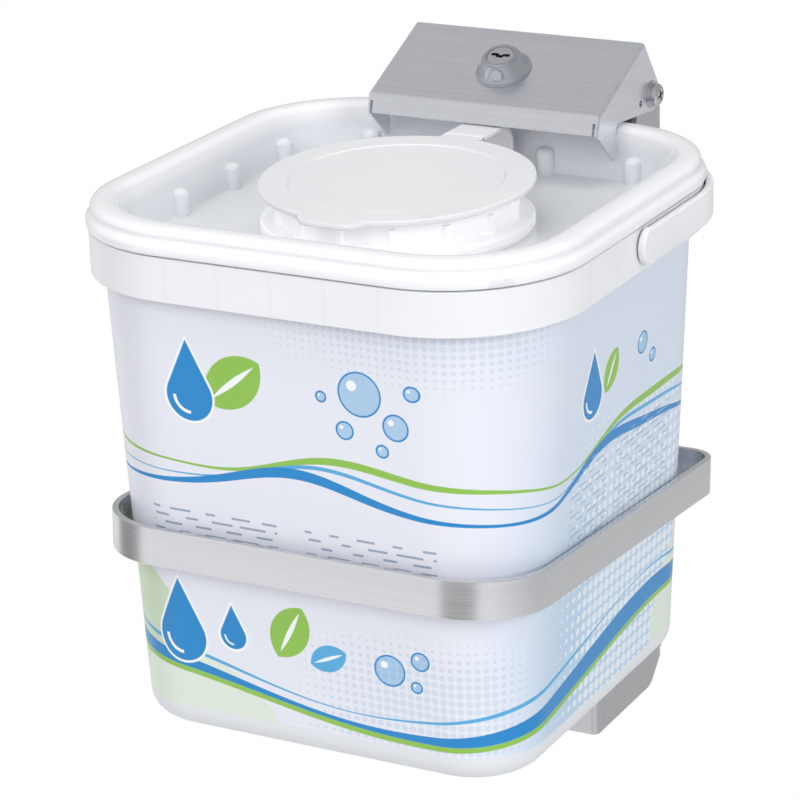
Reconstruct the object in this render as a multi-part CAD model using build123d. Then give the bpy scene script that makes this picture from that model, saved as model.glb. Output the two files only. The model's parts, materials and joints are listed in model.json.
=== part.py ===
from build123d import *
import math
import os

# Wall dispenser for a tub of wipes: a stainless wall bracket with a retaining ring, a foot and a
# locking hood, holding a square plastic tub with a tray lid, a dispensing closure and a bail handle.
# Millimetres. +Z up, +X to the right, the wall is the plane y = 0 and the tub stands on its -Y side.
# The origin is the middle of the four wall screw holes, on the wall.
# Each piece is drawn about the tub's upright centre line, heights counted from the skirt's bottom
# edge, and moved to the wall frame as it is written.

# Place of the tub
WALL_TO_TUB = 133.0        # wall plane to the tub's centre line
SKIRT_HEIGHT_POS = 80.0    # skirt's bottom edge above the wall screws' centre

# Tub
SKIRT_HALF = 100.0
SKIRT_TO_BODY = 5.7        # skirt's outside to the body's outside, at the skirt's bottom edge
BODY_TAPER = 10.7          # how far each side leans in, down to the underside
TUB_DEPTH = 180.0          # skirt's bottom edge down to the underside of the floor
TUB_TOP_HALF = SKIRT_HALF - SKIRT_TO_BODY
TUB_FOOT_HALF = TUB_TOP_HALF - BODY_TAPER
TUB_TOP_CORNER = 45.0
TUB_FOOT_CORNER = 28.0
TUB_WALL = 1.8
TUB_FOOT_ROUND = 9.0
SKIRT_CORNER = 44.0
SKIRT_TALL = 17.0
SKIRT_WALL = 1.6
UPSTAND_TALL = 7.0         # tub's mouth above the skirt's top
UPSTAND_IN = 4.5           # tub's mouth in from the skirt
SKIRT_RIBS = 5             # ribs inside the skirt, on each side
SKIRT_RIB_STEP = 22.0
SKIRT_RIB_TALL = 11.9
SKIRT_RIB_MID = 10.2       # height of the ribs' middle

# Lid
LID_HIGH = 28.0            # top of the rim
LID_BEAD_OUT = 1.0         # how far the lower bead stands out past the skirt
LID_NECK_IN = 1.4          # how far the groove lies in from the skirt
LID_CREST_IN = 4.6         # outer edge of the crest's flat, in from the skirt
LID_MOUTH_IN = 12.0        # recess wall at the crest, in from the skirt
LID_FLOOR_IN = 13.6        # recess wall at the floor
LID_WALL = 1.8
LID_FLOOR = 6.5            # top face of the recess floor
LID_SNAP_CLEAR = 0.3
FOOT_RIB_RADIUS = 4.0      # half round ribs at the foot of the recess wall
FOOT_RIB_TALL = 11.0
FOOT_RIB_STEP = 39.0
FOOT_RIBS = 4

# Dispensing closure
CLOSURE_Y = -2.3           # closure's centre, off the tub's centre
FLANGE_RADIUS = 52.5
FLANGE_THICK = 5.5
NECK_RADIUS = 45.5
NECK_WALL = 1.8
NECK_TOP = 20.6
NECK_SPIGOT = 3.0          # below the flange, through the lid's floor
NECK_RIBS = 14
NECK_RIB_WIDE = 3.0
NECK_RIB_OUT = 1.8
GATE_THICK = 1.4
GATE_DROP = 2.5            # gate's top face below the neck's top
GATE_HOLE = 4.0            # radius
GATE_SLITS = 6
GATE_SLIT_LONG = 13.0
GATE_SLIT_WIDE = 1.0
CAP_RADIUS = 53.0
CAP_THICK = 2.2
CAP_TOP = 26.3             # cap's top face at its centre
CAP_TILT = 1.9             # degrees, the hinge side higher
CAP_PANEL_RADIUS = 41.5
CAP_PANEL_DEEP = 0.4
CAP_PLUG_RADIUS = 42.4
CAP_PLUG_WALL = 1.6
CAP_PLUG_DEEP = 3.4
CAP_TAB_WIDE = 28.0
CAP_TAB_OUT = 5.0
HINGE_WIDE = 17.0
HINGE_OUT = 1.5            # hinge line beyond the cap's radius, from the tub's centre line
HINGE_Y = CAP_RADIUS + HINGE_OUT
HINGE_BEAD = 1.0           # radius of the cap's bead on the hinge line
HINGE_UP = -0.9            # hinge line above the cap's top face there
BAND_THICK = 1.6
BAND_IN = 19.0             # back face of the band, in from the skirt
BAND_BACK = SKIRT_HALF - BAND_IN
BAND_BEND = 10.0           # outer radius of its bend
HINGE_GAP = 0.3

# Bail handle
BAIL_THICK = 3.0
BAIL_TALL = 13.0
BAIL_GAP = 0.7
BAIL_AXIS_Y = 2.0
BAIL_AXIS_Z = 10.0
BAIL_END_RADIUS = 7.0
BAIL_PIN_RADIUS = 3.0
BAIL_PIN_CLEAR = 0.08

# Wipes
ROLL_GAP = 7.8             # to the tub's wall at its foot
ROLL_RADIUS = TUB_FOOT_HALF - TUB_WALL - ROLL_GAP
ROLL_CORE = 22.0
ROLL_TALL = 140.0

# Bracket
SHEET = 2.0                # bracket sheet
SPINE_HALF = 49.0          # outer half width of the channel
SPINE_FOOT = 218.0         # channel's web reaches this far below the skirt's bottom edge
SPINE_TOP = 53.0           # and this far above it
CHEEK_FOOT = 150.0         # side flanges stop this far below
CHEEK_STEP_Z = -13.0       # the flanges step back here to pass behind the skirt
SKIRT_TO_CHEEK = 7.5       # skirt's back to the flanges' front edge beside it
CHEEK_SKIRT = SKIRT_HALF + SKIRT_TO_CHEEK
EAR_RADIUS = 9.0
SCREW_ROW = 56.0           # across
SCREW_COLUMN = 150.0       # up and down
SCREW_HOLE = 3.25          # radius
RING_TOP = 99.0            # top edge at the centre line, below the skirt's bottom edge
RING_THICK = 2.5
RING_GAP = 0.9             # to the tub's sides at the ring's top edge
RING_HALF = TUB_TOP_HALF - BODY_TAPER * RING_TOP / TUB_DEPTH + RING_GAP + RING_THICK
RING_FRONT = RING_HALF + 2.7   # front face ahead of the tub's centre line
RING_BACK = RING_HALF + 3.2    # back face behind it
RING_TO_CHEEK = 2.0        # ring's back face to the flanges' front edge below it
CHEEK_FRONT = RING_BACK + RING_TO_CHEEK
RING_TALL = 15.0
RING_FRONT_CORNER = 32.0
RING_BACK_CORNER = 12.0
RING_TILT = 3.8            # degrees, the wall side lower
FOOT_FRONT = 66.0
FOOT_LOW = 228.0
FOOT_BEND = 3.0
FOOT_ROUND = 10.0

# Hood, side outline as (y, z) from the tub's centre line and the skirt's bottom edge
HOOD_HALF = 51.2
HOOD_SHEET = 1.5
HOOD_BACK = (112.7, 56.1)  # back edge of the sloping plate
HOOD_FOLD = (70.1, 36.6)   # fold of the front lip
HOOD_LIP = (67.9, 28.9)    # lip's lower edge
HOOD_TIP = (SKIRT_HALF - 16.6, 15.0)       # cheek's lower tip, inside the recess
HOOD_TIP_BACK = (SKIRT_HALF - 14.8, 15.6)
HOOD_NOTCH = (SKIRT_HALF - 14.4, 29.6)     # the notch that passes over the lid's rim
HOOD_TAIL = (122.0, 26.4)
HOOD_EDGE_ROUND = 1.4
HOOD_RELIEF = 1.0          # slot between the lip and each cheek
HOOD_RELIEF_START = 3.0    # below the fold
PIVOT = (120.5, 33.2)
PIVOT_CLEAR = 0.05
PIVOT_SHANK = 2.5
PIVOT_HEAD = 4.5
PIVOT_HEAD_TALL = 2.8
WASHER_RADIUS = 5.5
WASHER_THICK = 0.8
SPACER_GAP = 0.05
NUT_FLATS = 8.0
NUT_THICK = 4.0
CHEEK_HOLE = (109.3, 32.0)
CHEEK_HOLE_RADIUS = 1.4

# Cam lock, along the square line through the sloping plate
LOCK_UP_SLOPE = 22.1       # from the fold to the lock's centre, along the plate
LOCK_FLANGE = 11.4
LOCK_FLANGE_THICK = 0.8
LOCK_BASE = 10.4
LOCK_NOSE = 6.9
LOCK_PROUD = 7.6
LOCK_BARREL = 9.0
LOCK_DEEP = 10.2           # barrel's end, below the plate's outer face
PLUG_RADIUS = 5.4
PLUG_CLEAR = 0.05
KEYWAY_WIDE = 1.6
KEYWAY_LONG = 7.4
KEYWAY_DEEP = 4.0
LOCK_NUT_FLATS = 21.0
LOCK_NUT_THICK = 4.0
CAM_THICK = 2.5
CAM_HUB = 7.0
CAM_WIDE = 10.0
CAM_REACH = 20.0
CAM_SQUARE = 6.0
CAM_GAP = 0.3
CAM_SCREW_HEAD = 3.4
CAM_SCREW_TALL = 2.0
KEEPER_THICK = 2.5
KEEPER_HALF = 10.0
KEEPER_GAP = 0.4
KEEPER_START = 15.2        # keeper's front edge, up the slope from the lock's line
KEEPER_CLEAR = 0.8         # its step, past the cam's end
KEEPER_STEP = 16.0         # lowest corner of the step, below the plate's outer face
KEEPER_CUT = 3.0           # bevel on the step's upper corner
KEEPER_LEG = 22.0


def at_tub(shape):
    """Moves a piece from the tub's centre line to the wall frame."""
    return Pos(0, -WALL_TO_TUB, SKIRT_HEIGHT_POS) * shape


def square_at(half, corner, z):
    """Rounded square of the given half width at height z."""
    return Plane.XY.offset(z) * RectangleRounded(2 * half, 2 * half, corner)


def side_sheet(points, x0, x1):
    """Slab between x0 and x1 with the outline points, given as (y, z)."""
    outline = make_face(Polyline(*points, close=True))
    return extrude(Plane.YZ.offset(x0) * outline, amount=x1 - x0)


def x_rod(y, z, radius, x0, x1):
    """Round bar along X from x0 to x1."""
    return Plane(origin=(x0, y, z), x_dir=(0, 1, 0), z_dir=(1, 0, 0)) * Cylinder(
        radius, x1 - x0, align=(Align.CENTER, Align.CENTER, Align.MIN))


def upright(radius, z0, z1, y=0.0):
    """Round bar along Z from z0 to z1."""
    return Pos(0, y, z0) * Cylinder(radius, z1 - z0, align=(Align.CENTER, Align.CENTER, Align.MIN))


def body_half(z):
    """Tub body's half width at height z."""
    return TUB_TOP_HALF + (TUB_TOP_HALF - TUB_FOOT_HALF) * z / TUB_DEPTH


def body_corner(z):
    """Tub body's corner radius at height z."""
    return TUB_TOP_CORNER + (TUB_TOP_CORNER - TUB_FOOT_CORNER) * z / TUB_DEPTH


def tapered(z0, z1, inset):
    """The tub body's tapering form between two heights, inset from its outside."""
    return loft([square_at(body_half(z) - inset, body_corner(z) - inset, z) for z in (z0, z1)])


def upstand_half():
    """Half width of the tub's mouth, outside."""
    return SKIRT_HALF - UPSTAND_IN


def upstand_corner():
    """Corner radius of the tub's mouth, outside."""
    return SKIRT_CORNER - UPSTAND_IN


def make_tub():
    """Tapering tub with a hanging skirt, ribs inside the skirt and an upstand for the lid."""
    deck = SKIRT_TALL - SKIRT_WALL
    body = tapered(-TUB_DEPTH, deck + SKIRT_WALL / 2, 0)
    body = fillet(body.faces().sort_by(Axis.Z)[0].edges(), TUB_FOOT_ROUND)
    skirt = extrude(square_at(SKIRT_HALF, SKIRT_CORNER, 0), SKIRT_TALL)
    skirt -= extrude(square_at(SKIRT_HALF - SKIRT_WALL, SKIRT_CORNER - SKIRT_WALL, 0),
                     deck)
    skirt += extrude(square_at(upstand_half(), upstand_corner(), SKIRT_TALL), UPSTAND_TALL)
    rib_at = [(i - (SKIRT_RIBS - 1) / 2) * SKIRT_RIB_STEP for i in range(SKIRT_RIBS)]
    rib_in = TUB_TOP_HALF - TUB_WALL / 2
    rib_out = SKIRT_HALF - SKIRT_WALL / 2
    for turn in range(4):
        for place in rib_at:
            if abs(place) < 1 and turn in (0, 2):
                continue
            skirt += Rot(0, 0, 90 * turn) * Pos((rib_out + rib_in) / 2, place, SKIRT_RIB_MID) * Box(
                rib_out - rib_in, SKIRT_WALL, SKIRT_RIB_TALL)
    hollow = tapered(-TUB_DEPTH + TUB_WALL, deck, TUB_WALL)
    hollow = fillet(hollow.faces().sort_by(Axis.Z)[0].edges(), TUB_FOOT_ROUND - TUB_WALL)
    hollow += extrude(square_at(upstand_half() - TUB_WALL, upstand_corner() - TUB_WALL, deck),
                      SKIRT_WALL + UPSTAND_TALL + 1)
    tub = body + skirt - hollow
    for side in (-1, 1):
        tub -= x_rod(BAIL_AXIS_Y, BAIL_AXIS_Z, BAIL_PIN_RADIUS + BAIL_PIN_CLEAR,
                     min(side * (SKIRT_HALF - SKIRT_WALL - 1), side * (SKIRT_HALF + 1)),
                     max(side * (SKIRT_HALF - SKIRT_WALL - 1), side * (SKIRT_HALF + 1)))
    return tub


def rim_ring(profile, half, corner):
    """Sweeps an outline, given as (distance in from the skirt, height), round a rounded square."""
    path = RectangleRounded(2 * half, 2 * half, corner).wire()
    start = path @ 0
    along = path % 0
    plane = Plane(origin=start, x_dir=Vector(0, 0, 1).cross(along), z_dir=along)
    inward = 1 if plane.x_dir.dot(Vector(0, 0, 0) - start) > 0 else -1
    upward = 1 if plane.y_dir.Z > 0 else -1
    base = SKIRT_HALF - half
    points = [((d - base) * inward, z * upward) for d, z in profile]
    return sweep(plane * make_face(Polyline(*points, close=True)), path=path)


def make_lid():
    """Tray lid: a double beaded rim that snaps over the tub's upstand, and a deep recess."""
    snap_top = SKIRT_TALL + UPSTAND_TALL + LID_SNAP_CLEAR
    upstand_out = UPSTAND_IN - LID_SNAP_CLEAR
    upstand_in = UPSTAND_IN + TUB_WALL + LID_SNAP_CLEAR
    low = SKIRT_TALL + LID_SNAP_CLEAR
    bead_mid = low + 3.0
    neck = bead_mid + 3.2
    profile = [
        (1.4, low), (0.2 - LID_BEAD_OUT, low + 0.9), (-LID_BEAD_OUT, bead_mid - 0.6),
        (-LID_BEAD_OUT, bead_mid + 0.6), (0.2 - LID_BEAD_OUT + 0.4, bead_mid + 1.8),
        (LID_NECK_IN, neck), (LID_NECK_IN + 0.1, neck + 0.8), (LID_NECK_IN - 0.4, neck + 1.6),
        (LID_NECK_IN + 0.2, LID_HIGH - 1.5), (LID_NECK_IN + 1.4, LID_HIGH - 0.5),
        (LID_CREST_IN, LID_HIGH), (LID_MOUTH_IN - 3.0, LID_HIGH), (LID_MOUTH_IN - 1.0, LID_HIGH - 0.5),
        (LID_MOUTH_IN, LID_HIGH - 1.8), (LID_FLOOR_IN - 0.3, LID_FLOOR + 1.6),
        (LID_FLOOR_IN + 0.6, LID_FLOOR), (LID_FLOOR_IN + 6, LID_FLOOR),
        (LID_FLOOR_IN + 6, LID_FLOOR - LID_WALL), (LID_FLOOR_IN - LID_WALL, LID_FLOOR - LID_WALL),
        (LID_MOUTH_IN - LID_WALL, SKIRT_TALL - 1), (upstand_in, SKIRT_TALL + 0.6),
        (upstand_in, snap_top), (upstand_out, snap_top), (upstand_out, low)]
    lid = rim_ring(profile, SKIRT_HALF - 8, SKIRT_CORNER - 8)
    floor_half = SKIRT_HALF - LID_FLOOR_IN - 3
    lid += extrude(square_at(floor_half, SKIRT_CORNER - LID_FLOOR_IN - 3, LID_FLOOR - LID_WALL), LID_WALL)
    wall_half = SKIRT_HALF - LID_FLOOR_IN
    for turn in range(4):
        for i in range(FOOT_RIBS):
            place = (i - (FOOT_RIBS - 1) / 2) * FOOT_RIB_STEP
            rib = Cylinder(FOOT_RIB_RADIUS, FOOT_RIB_TALL, align=(Align.CENTER, Align.CENTER, Align.MIN))
            rib = fillet(rib.faces().sort_by(Axis.Z)[-1].edges(), FOOT_RIB_RADIUS * 0.6)
            rib &= Pos(0, -FOOT_RIB_RADIUS, 0) * Box(FOOT_RIB_RADIUS * 2.2, FOOT_RIB_RADIUS * 2.2,
                                                   FOOT_RIB_TALL * 2.2)
            lid += Rot(0, 0, 90 * turn) * Pos(place, wall_half + 0.5, LID_FLOOR - 0.5) * rib
    lid -= upright(NECK_RADIUS + LID_SNAP_CLEAR, LID_FLOOR - 2 * LID_WALL, LID_FLOOR + 1, CLOSURE_Y)
    return lid


def make_collar():
    """Dispensing collar: stepped flange on the lid's floor, ribbed neck and a tongue to the hinge."""
    foot = LID_FLOOR
    collar = upright(FLANGE_RADIUS - 1.2, foot, foot + FLANGE_THICK - 3.2)
    top_plate = upright(FLANGE_RADIUS, foot + 1.6, foot + FLANGE_THICK)
    collar += fillet(top_plate.edges().sort_by(Axis.Z)[-1], 1.2)
    collar += upright(NECK_RADIUS, foot - NECK_SPIGOT, NECK_TOP)
    for i in range(NECK_RIBS):
        rib = Pos(NECK_RADIUS - 0.5 + (NECK_RIB_OUT + 0.5) / 2, 0, 0) * Box(
            NECK_RIB_OUT + 0.5, NECK_RIB_WIDE, NECK_TOP - 1.0 - foot - 1,
            align=(Align.CENTER, Align.CENTER, Align.MIN))
        rib = fillet(rib.edges().filter_by(Axis.Y).sort_by(Axis.Z)[-2:].sort_by(Axis.X)[-1], 1.2)
        collar += Rot(0, 0, 360 / NECK_RIBS * (i + 0.5) - 90) * Pos(0, 0, foot + 1) * rib
    tongue_end = BAND_BACK - CLOSURE_Y
    collar += Pos(0, (NECK_RADIUS + tongue_end) / 2, foot + BAND_THICK / 2) * Box(
        HINGE_WIDE, tongue_end - NECK_RADIUS, BAND_THICK)
    collar -= upright(NECK_RADIUS - NECK_WALL, foot - NECK_SPIGOT - 1, NECK_TOP + 1)
    ledge = upright(NECK_RADIUS - NECK_WALL + 0.2, gate_low() - 1.2, gate_low())
    ledge -= upright(NECK_RADIUS - NECK_WALL - 2.5, gate_low() - 3, NECK_TOP)
    return Pos(0, CLOSURE_Y, 0) * (collar + ledge)


def gate_low():
    """Height of the gate's underside, on its ledge."""
    return NECK_TOP - GATE_DROP - GATE_THICK


def make_gate():
    """Pull-through gate: a disc with a round hole and slits that grip the wipe."""
    gate = upright(NECK_RADIUS - NECK_WALL - 0.1, gate_low(), gate_low() + GATE_THICK)
    dish = upright(NECK_RADIUS * 0.55, gate_low() + GATE_THICK * 0.6, gate_low() + GATE_THICK + 1)
    gate -= fillet(dish.edges().sort_by(Axis.Z)[0], GATE_THICK * 0.3)
    gate -= upright(GATE_HOLE, gate_low() - 1, NECK_TOP)
    for i in range(GATE_SLITS):
        gate -= Rot(0, 0, 360 / GATE_SLITS * i) * Pos(GATE_SLIT_LONG / 2, 0, gate_low()) * Box(
            GATE_SLIT_LONG, GATE_SLIT_WIDE, GATE_THICK * 4)
    return Pos(0, CLOSURE_Y, 0) * gate


def hinge_z():
    """Height of the cap's hinge line."""
    return CAP_TOP + (HINGE_Y - CLOSURE_Y) * math.tan(math.radians(CAP_TILT)) + HINGE_UP


def make_hinge_band():
    """Band that rises from the tongue and curls forward to the hinge line."""
    top = hinge_z() + BAND_THICK / 2
    base = LID_FLOOR + BAND_THICK
    front = HINGE_Y + HINGE_BEAD + HINGE_GAP
    bend_y, bend_z = BAND_BACK - BAND_BEND, top - BAND_BEND
    inner = BAND_BEND - BAND_THICK
    half = math.sqrt(0.5)
    edges = [
        Line((BAND_BACK, base), (BAND_BACK, bend_z)),
        ThreePointArc((BAND_BACK, bend_z), (bend_y + BAND_BEND * half, bend_z + BAND_BEND * half),
                      (bend_y, top)),
        Polyline((bend_y, top), (front, top), (front, top - BAND_THICK), (bend_y, top - BAND_THICK)),
        ThreePointArc((bend_y, top - BAND_THICK), (bend_y + inner * half, bend_z + inner * half),
                      (BAND_BACK - BAND_THICK, bend_z)),
        Polyline((BAND_BACK - BAND_THICK, bend_z), (BAND_BACK - BAND_THICK, base), (BAND_BACK, base))]
    return extrude(Plane.YZ.offset(-HINGE_WIDE / 2) * make_face(edges), amount=HINGE_WIDE)


def make_cap():
    """Thin round cap with a sunk panel, a thumb tab, a plug ring underneath and a hinge bead."""
    edge = CAP_THICK * 0.35
    disc = upright(CAP_RADIUS, -CAP_THICK, 0)
    cap = fillet(disc.edges().sort_by(Axis.Z)[-1], edge)
    tab_far = CAP_RADIUS + CAP_TAB_OUT
    tab = Pos(0, -tab_far / 2, -CAP_THICK) * extrude(
        RectangleRounded(CAP_TAB_WIDE, tab_far, CAP_TAB_WIDE * 0.3), CAP_THICK)
    cap += fillet(tab.faces().sort_by(Axis.Z)[-1].outer_wire().edges(), edge)
    cap -= upright(CAP_PANEL_RADIUS, -CAP_PANEL_DEEP, CAP_THICK)
    plug = upright(CAP_PLUG_RADIUS, -CAP_THICK - CAP_PLUG_DEEP, -CAP_THICK)
    plug -= upright(CAP_PLUG_RADIUS - CAP_PLUG_WALL, -CAP_THICK - CAP_PLUG_DEEP - 1, -CAP_THICK)
    cap += plug
    lug_end = HINGE_Y - CLOSURE_Y
    lug_base = CAP_RADIUS * 0.86
    low, high = HINGE_UP - BAND_THICK / 2, HINGE_UP + BAND_THICK / 2
    cap += side_sheet([(lug_base, -CAP_THICK), (lug_end - HINGE_BEAD, low), (lug_end, low),
                       (lug_end, high), (lug_base, high)], -HINGE_WIDE / 2, HINGE_WIDE / 2)
    cap = Pos(0, CLOSURE_Y, CAP_TOP) * Rot(CAP_TILT, 0, 0) * cap
    return cap + x_rod(HINGE_Y, hinge_z(), HINGE_BEAD, -HINGE_WIDE / 2, HINGE_WIDE / 2)


def make_bail():
    """Strap handle lying round the back of the skirt, with a pin in the skirt at each end."""
    mid = BAIL_AXIS_Z
    inner = SKIRT_HALF + BAIL_GAP
    outer = inner + BAIL_THICK
    low = mid - BAIL_TALL / 2
    loop = extrude(square_at(outer, SKIRT_CORNER + BAIL_GAP + BAIL_THICK, low), BAIL_TALL)
    loop -= extrude(square_at(inner, SKIRT_CORNER + BAIL_GAP, low - 1), BAIL_TALL + 2)
    loop &= Pos(0, BAIL_AXIS_Y, low) * Box(3 * outer, 2 * outer, BAIL_TALL,
                                           align=(Align.CENTER, Align.MIN, Align.MIN))
    for side in (-1, 1):
        faces = sorted((side * inner, side * outer))
        loop += x_rod(BAIL_AXIS_Y, mid, BAIL_END_RADIUS, *faces)
        pins = sorted((side * (SKIRT_HALF - SKIRT_WALL), side * (inner + 0.5)))
        loop += x_rod(BAIL_AXIS_Y, mid, BAIL_PIN_RADIUS, *pins)
    return loop


def make_roll():
    """Roll of wipes with an open core, standing on the tub's floor."""
    low = -TUB_DEPTH + TUB_WALL
    roll = upright(ROLL_RADIUS, low, low + ROLL_TALL)
    roll = fillet(roll.edges().sort_by(Axis.Z)[-1], 3)
    return roll - upright(ROLL_CORE, low - 1, low + ROLL_TALL + 1)


def ring_outline(inset):
    """Outline seen from above, drawn in from the ring's outside."""
    half = RING_HALF - inset
    front, back = RING_FRONT - inset, RING_BACK - inset
    outline = Pos(0, (back - front) / 2) * Rectangle(2 * half, front + back)
    outline = fillet(outline.vertices().sort_by(Axis.Y)[:2], RING_FRONT_CORNER - inset)
    return fillet(outline.vertices().sort_by(Axis.Y)[-2:], RING_BACK_CORNER - inset)


def ring_place(low):
    """Place of the tilted ring, low under its top edge."""
    return Pos(0, 0, -RING_TOP) * Rot(-RING_TILT, 0, 0) * Pos(0, 0, -low)


def ring_outer():
    """The ring's outside as a full solid."""
    return ring_place(RING_TALL) * extrude(ring_outline(0), RING_TALL)


def ring_hole():
    """The ring's inside, run past both of its edges."""
    return ring_place(RING_TALL + 1) * extrude(ring_outline(RING_THICK), RING_TALL + 2)


def make_ring():
    """Flat bar bent into a closed ring round the tub."""
    return ring_outer() - ring_hole()


def screw_centres():
    """Wall screw holes as (x, z) from their middle."""
    return [(sx * SCREW_ROW / 2, sz * SCREW_COLUMN / 2) for sx in (-1, 1) for sz in (-1, 1)]


def make_spine():
    """Wall channel: web on the wall, side flanges cut to the ring, the skirt and the hood's ears."""
    wall, web = WALL_TO_TUB, WALL_TO_TUB - SHEET
    body = Pos(0, web, -SPINE_FOOT) * Box(2 * SPINE_HALF, SHEET, SPINE_FOOT + SPINE_TOP,
                                          align=(Align.CENTER, Align.MIN, Align.MIN))
    body = fillet(body.edges().filter_by(Axis.Y), 6)
    py, pz = PIVOT
    flange = [(wall - SHEET / 2, -CHEEK_FOOT), (CHEEK_FRONT + 12, -CHEEK_FOOT),
              (CHEEK_FRONT, -CHEEK_FOOT + 14), (CHEEK_FRONT, CHEEK_STEP_Z - 8),
              (CHEEK_SKIRT, CHEEK_STEP_Z), (CHEEK_SKIRT, pz - 16), (py - EAR_RADIUS, pz - 4),
              (py - EAR_RADIUS, pz), (py, pz + EAR_RADIUS), (wall - SHEET / 2, pz + EAR_RADIUS)]
    for side in (-1, 1):
        faces = sorted((side * SPINE_HALF, side * (SPINE_HALF - SHEET)))
        cheek = side_sheet(flange, *faces)
        cheek = cheek + x_rod(py, pz, EAR_RADIUS, *faces)
        body += cheek
    body -= ring_outer()
    for side in (-1, 1):
        faces = sorted((side * (SPINE_HALF - SHEET - 1), side * (SPINE_HALF + 1)))
        body -= x_rod(py, pz, PIVOT_SHANK + PIVOT_CLEAR, *faces)
    for x, z in screw_centres():
        body -= Pos(x, web, z - SKIRT_HEIGHT_POS) * Rot(90, 0, 0) * Cylinder(SCREW_HOLE, 4 * SHEET)
    return body


def make_foot():
    """Bent foot under the tub: front and side walls down, a shelf on top that carries the tub."""
    back = WALL_TO_TUB - SHEET
    deep = back - FOOT_FRONT
    walls = Pos(0, FOOT_FRONT + deep / 2) * Rectangle(2 * SPINE_HALF, deep)
    walls = fillet(walls.vertices().sort_by(Axis.Y)[:2], FOOT_BEND)
    inside = Pos(0, FOOT_FRONT + SHEET + deep / 2) * Rectangle(2 * (SPINE_HALF - SHEET), deep)
    inside = fillet(inside.vertices().sort_by(Axis.Y)[:2], FOOT_BEND - SHEET + 0.2)
    tall = FOOT_LOW - TUB_DEPTH
    foot = extrude(Plane.XY.offset(-FOOT_LOW) * walls, tall)
    foot -= extrude(Plane.XY.offset(-FOOT_LOW - 1) * inside, tall + 1 - SHEET)
    keep = side_sheet([(FOOT_FRONT - 1, -FOOT_LOW), (back - FOOT_ROUND, -FOOT_LOW),
                       (back, -FOOT_LOW + FOOT_ROUND), (back, 0), (FOOT_FRONT - 1, 0)],
                      -SPINE_HALF - 1, SPINE_HALF + 1)
    keep = fillet(keep.edges().filter_by(Axis.X).sort_by_distance(
        Vertex(0, back - FOOT_ROUND, -FOOT_LOW))[0], FOOT_ROUND * 0.9)
    foot &= keep
    return fillet(foot.edges().filter_by(Axis.X).sort_by_distance(
        Vertex(0, FOOT_FRONT, -TUB_DEPTH))[0], FOOT_BEND)


def slope():
    """Unit vector up the sloping plate, as (y, z)."""
    dy, dz = HOOD_BACK[0] - HOOD_FOLD[0], HOOD_BACK[1] - HOOD_FOLD[1]
    long = math.hypot(dy, dz)
    return dy / long, dz / long


def plate_point(up, deep):
    """Point (y, z) that lies up the slope from the lock's line and deep under the plate's face."""
    uy, uz = slope()
    along = LOCK_UP_SLOPE + up
    return HOOD_FOLD[0] + along * uy + deep * uz, HOOD_FOLD[1] + along * uz - deep * uy


def crossing(first, along, second, beside):
    """Point where two lines, each a point and a direction, cross."""
    det = along[1] * beside[0] - along[0] * beside[1]
    t = ((second[1] - first[1]) * beside[0] - (second[0] - first[0]) * beside[1]) / det
    return first[0] + t * along[0], first[1] + t * along[1]


def lock_plane():
    """Plane on the plate's outer face at the lock's centre, Z square to the plate."""
    y, z = plate_point(0, 0)
    uy, uz = slope()
    return Plane(origin=(0, y, z), x_dir=(1, 0, 0), z_dir=(0, -uz, uy))


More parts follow.
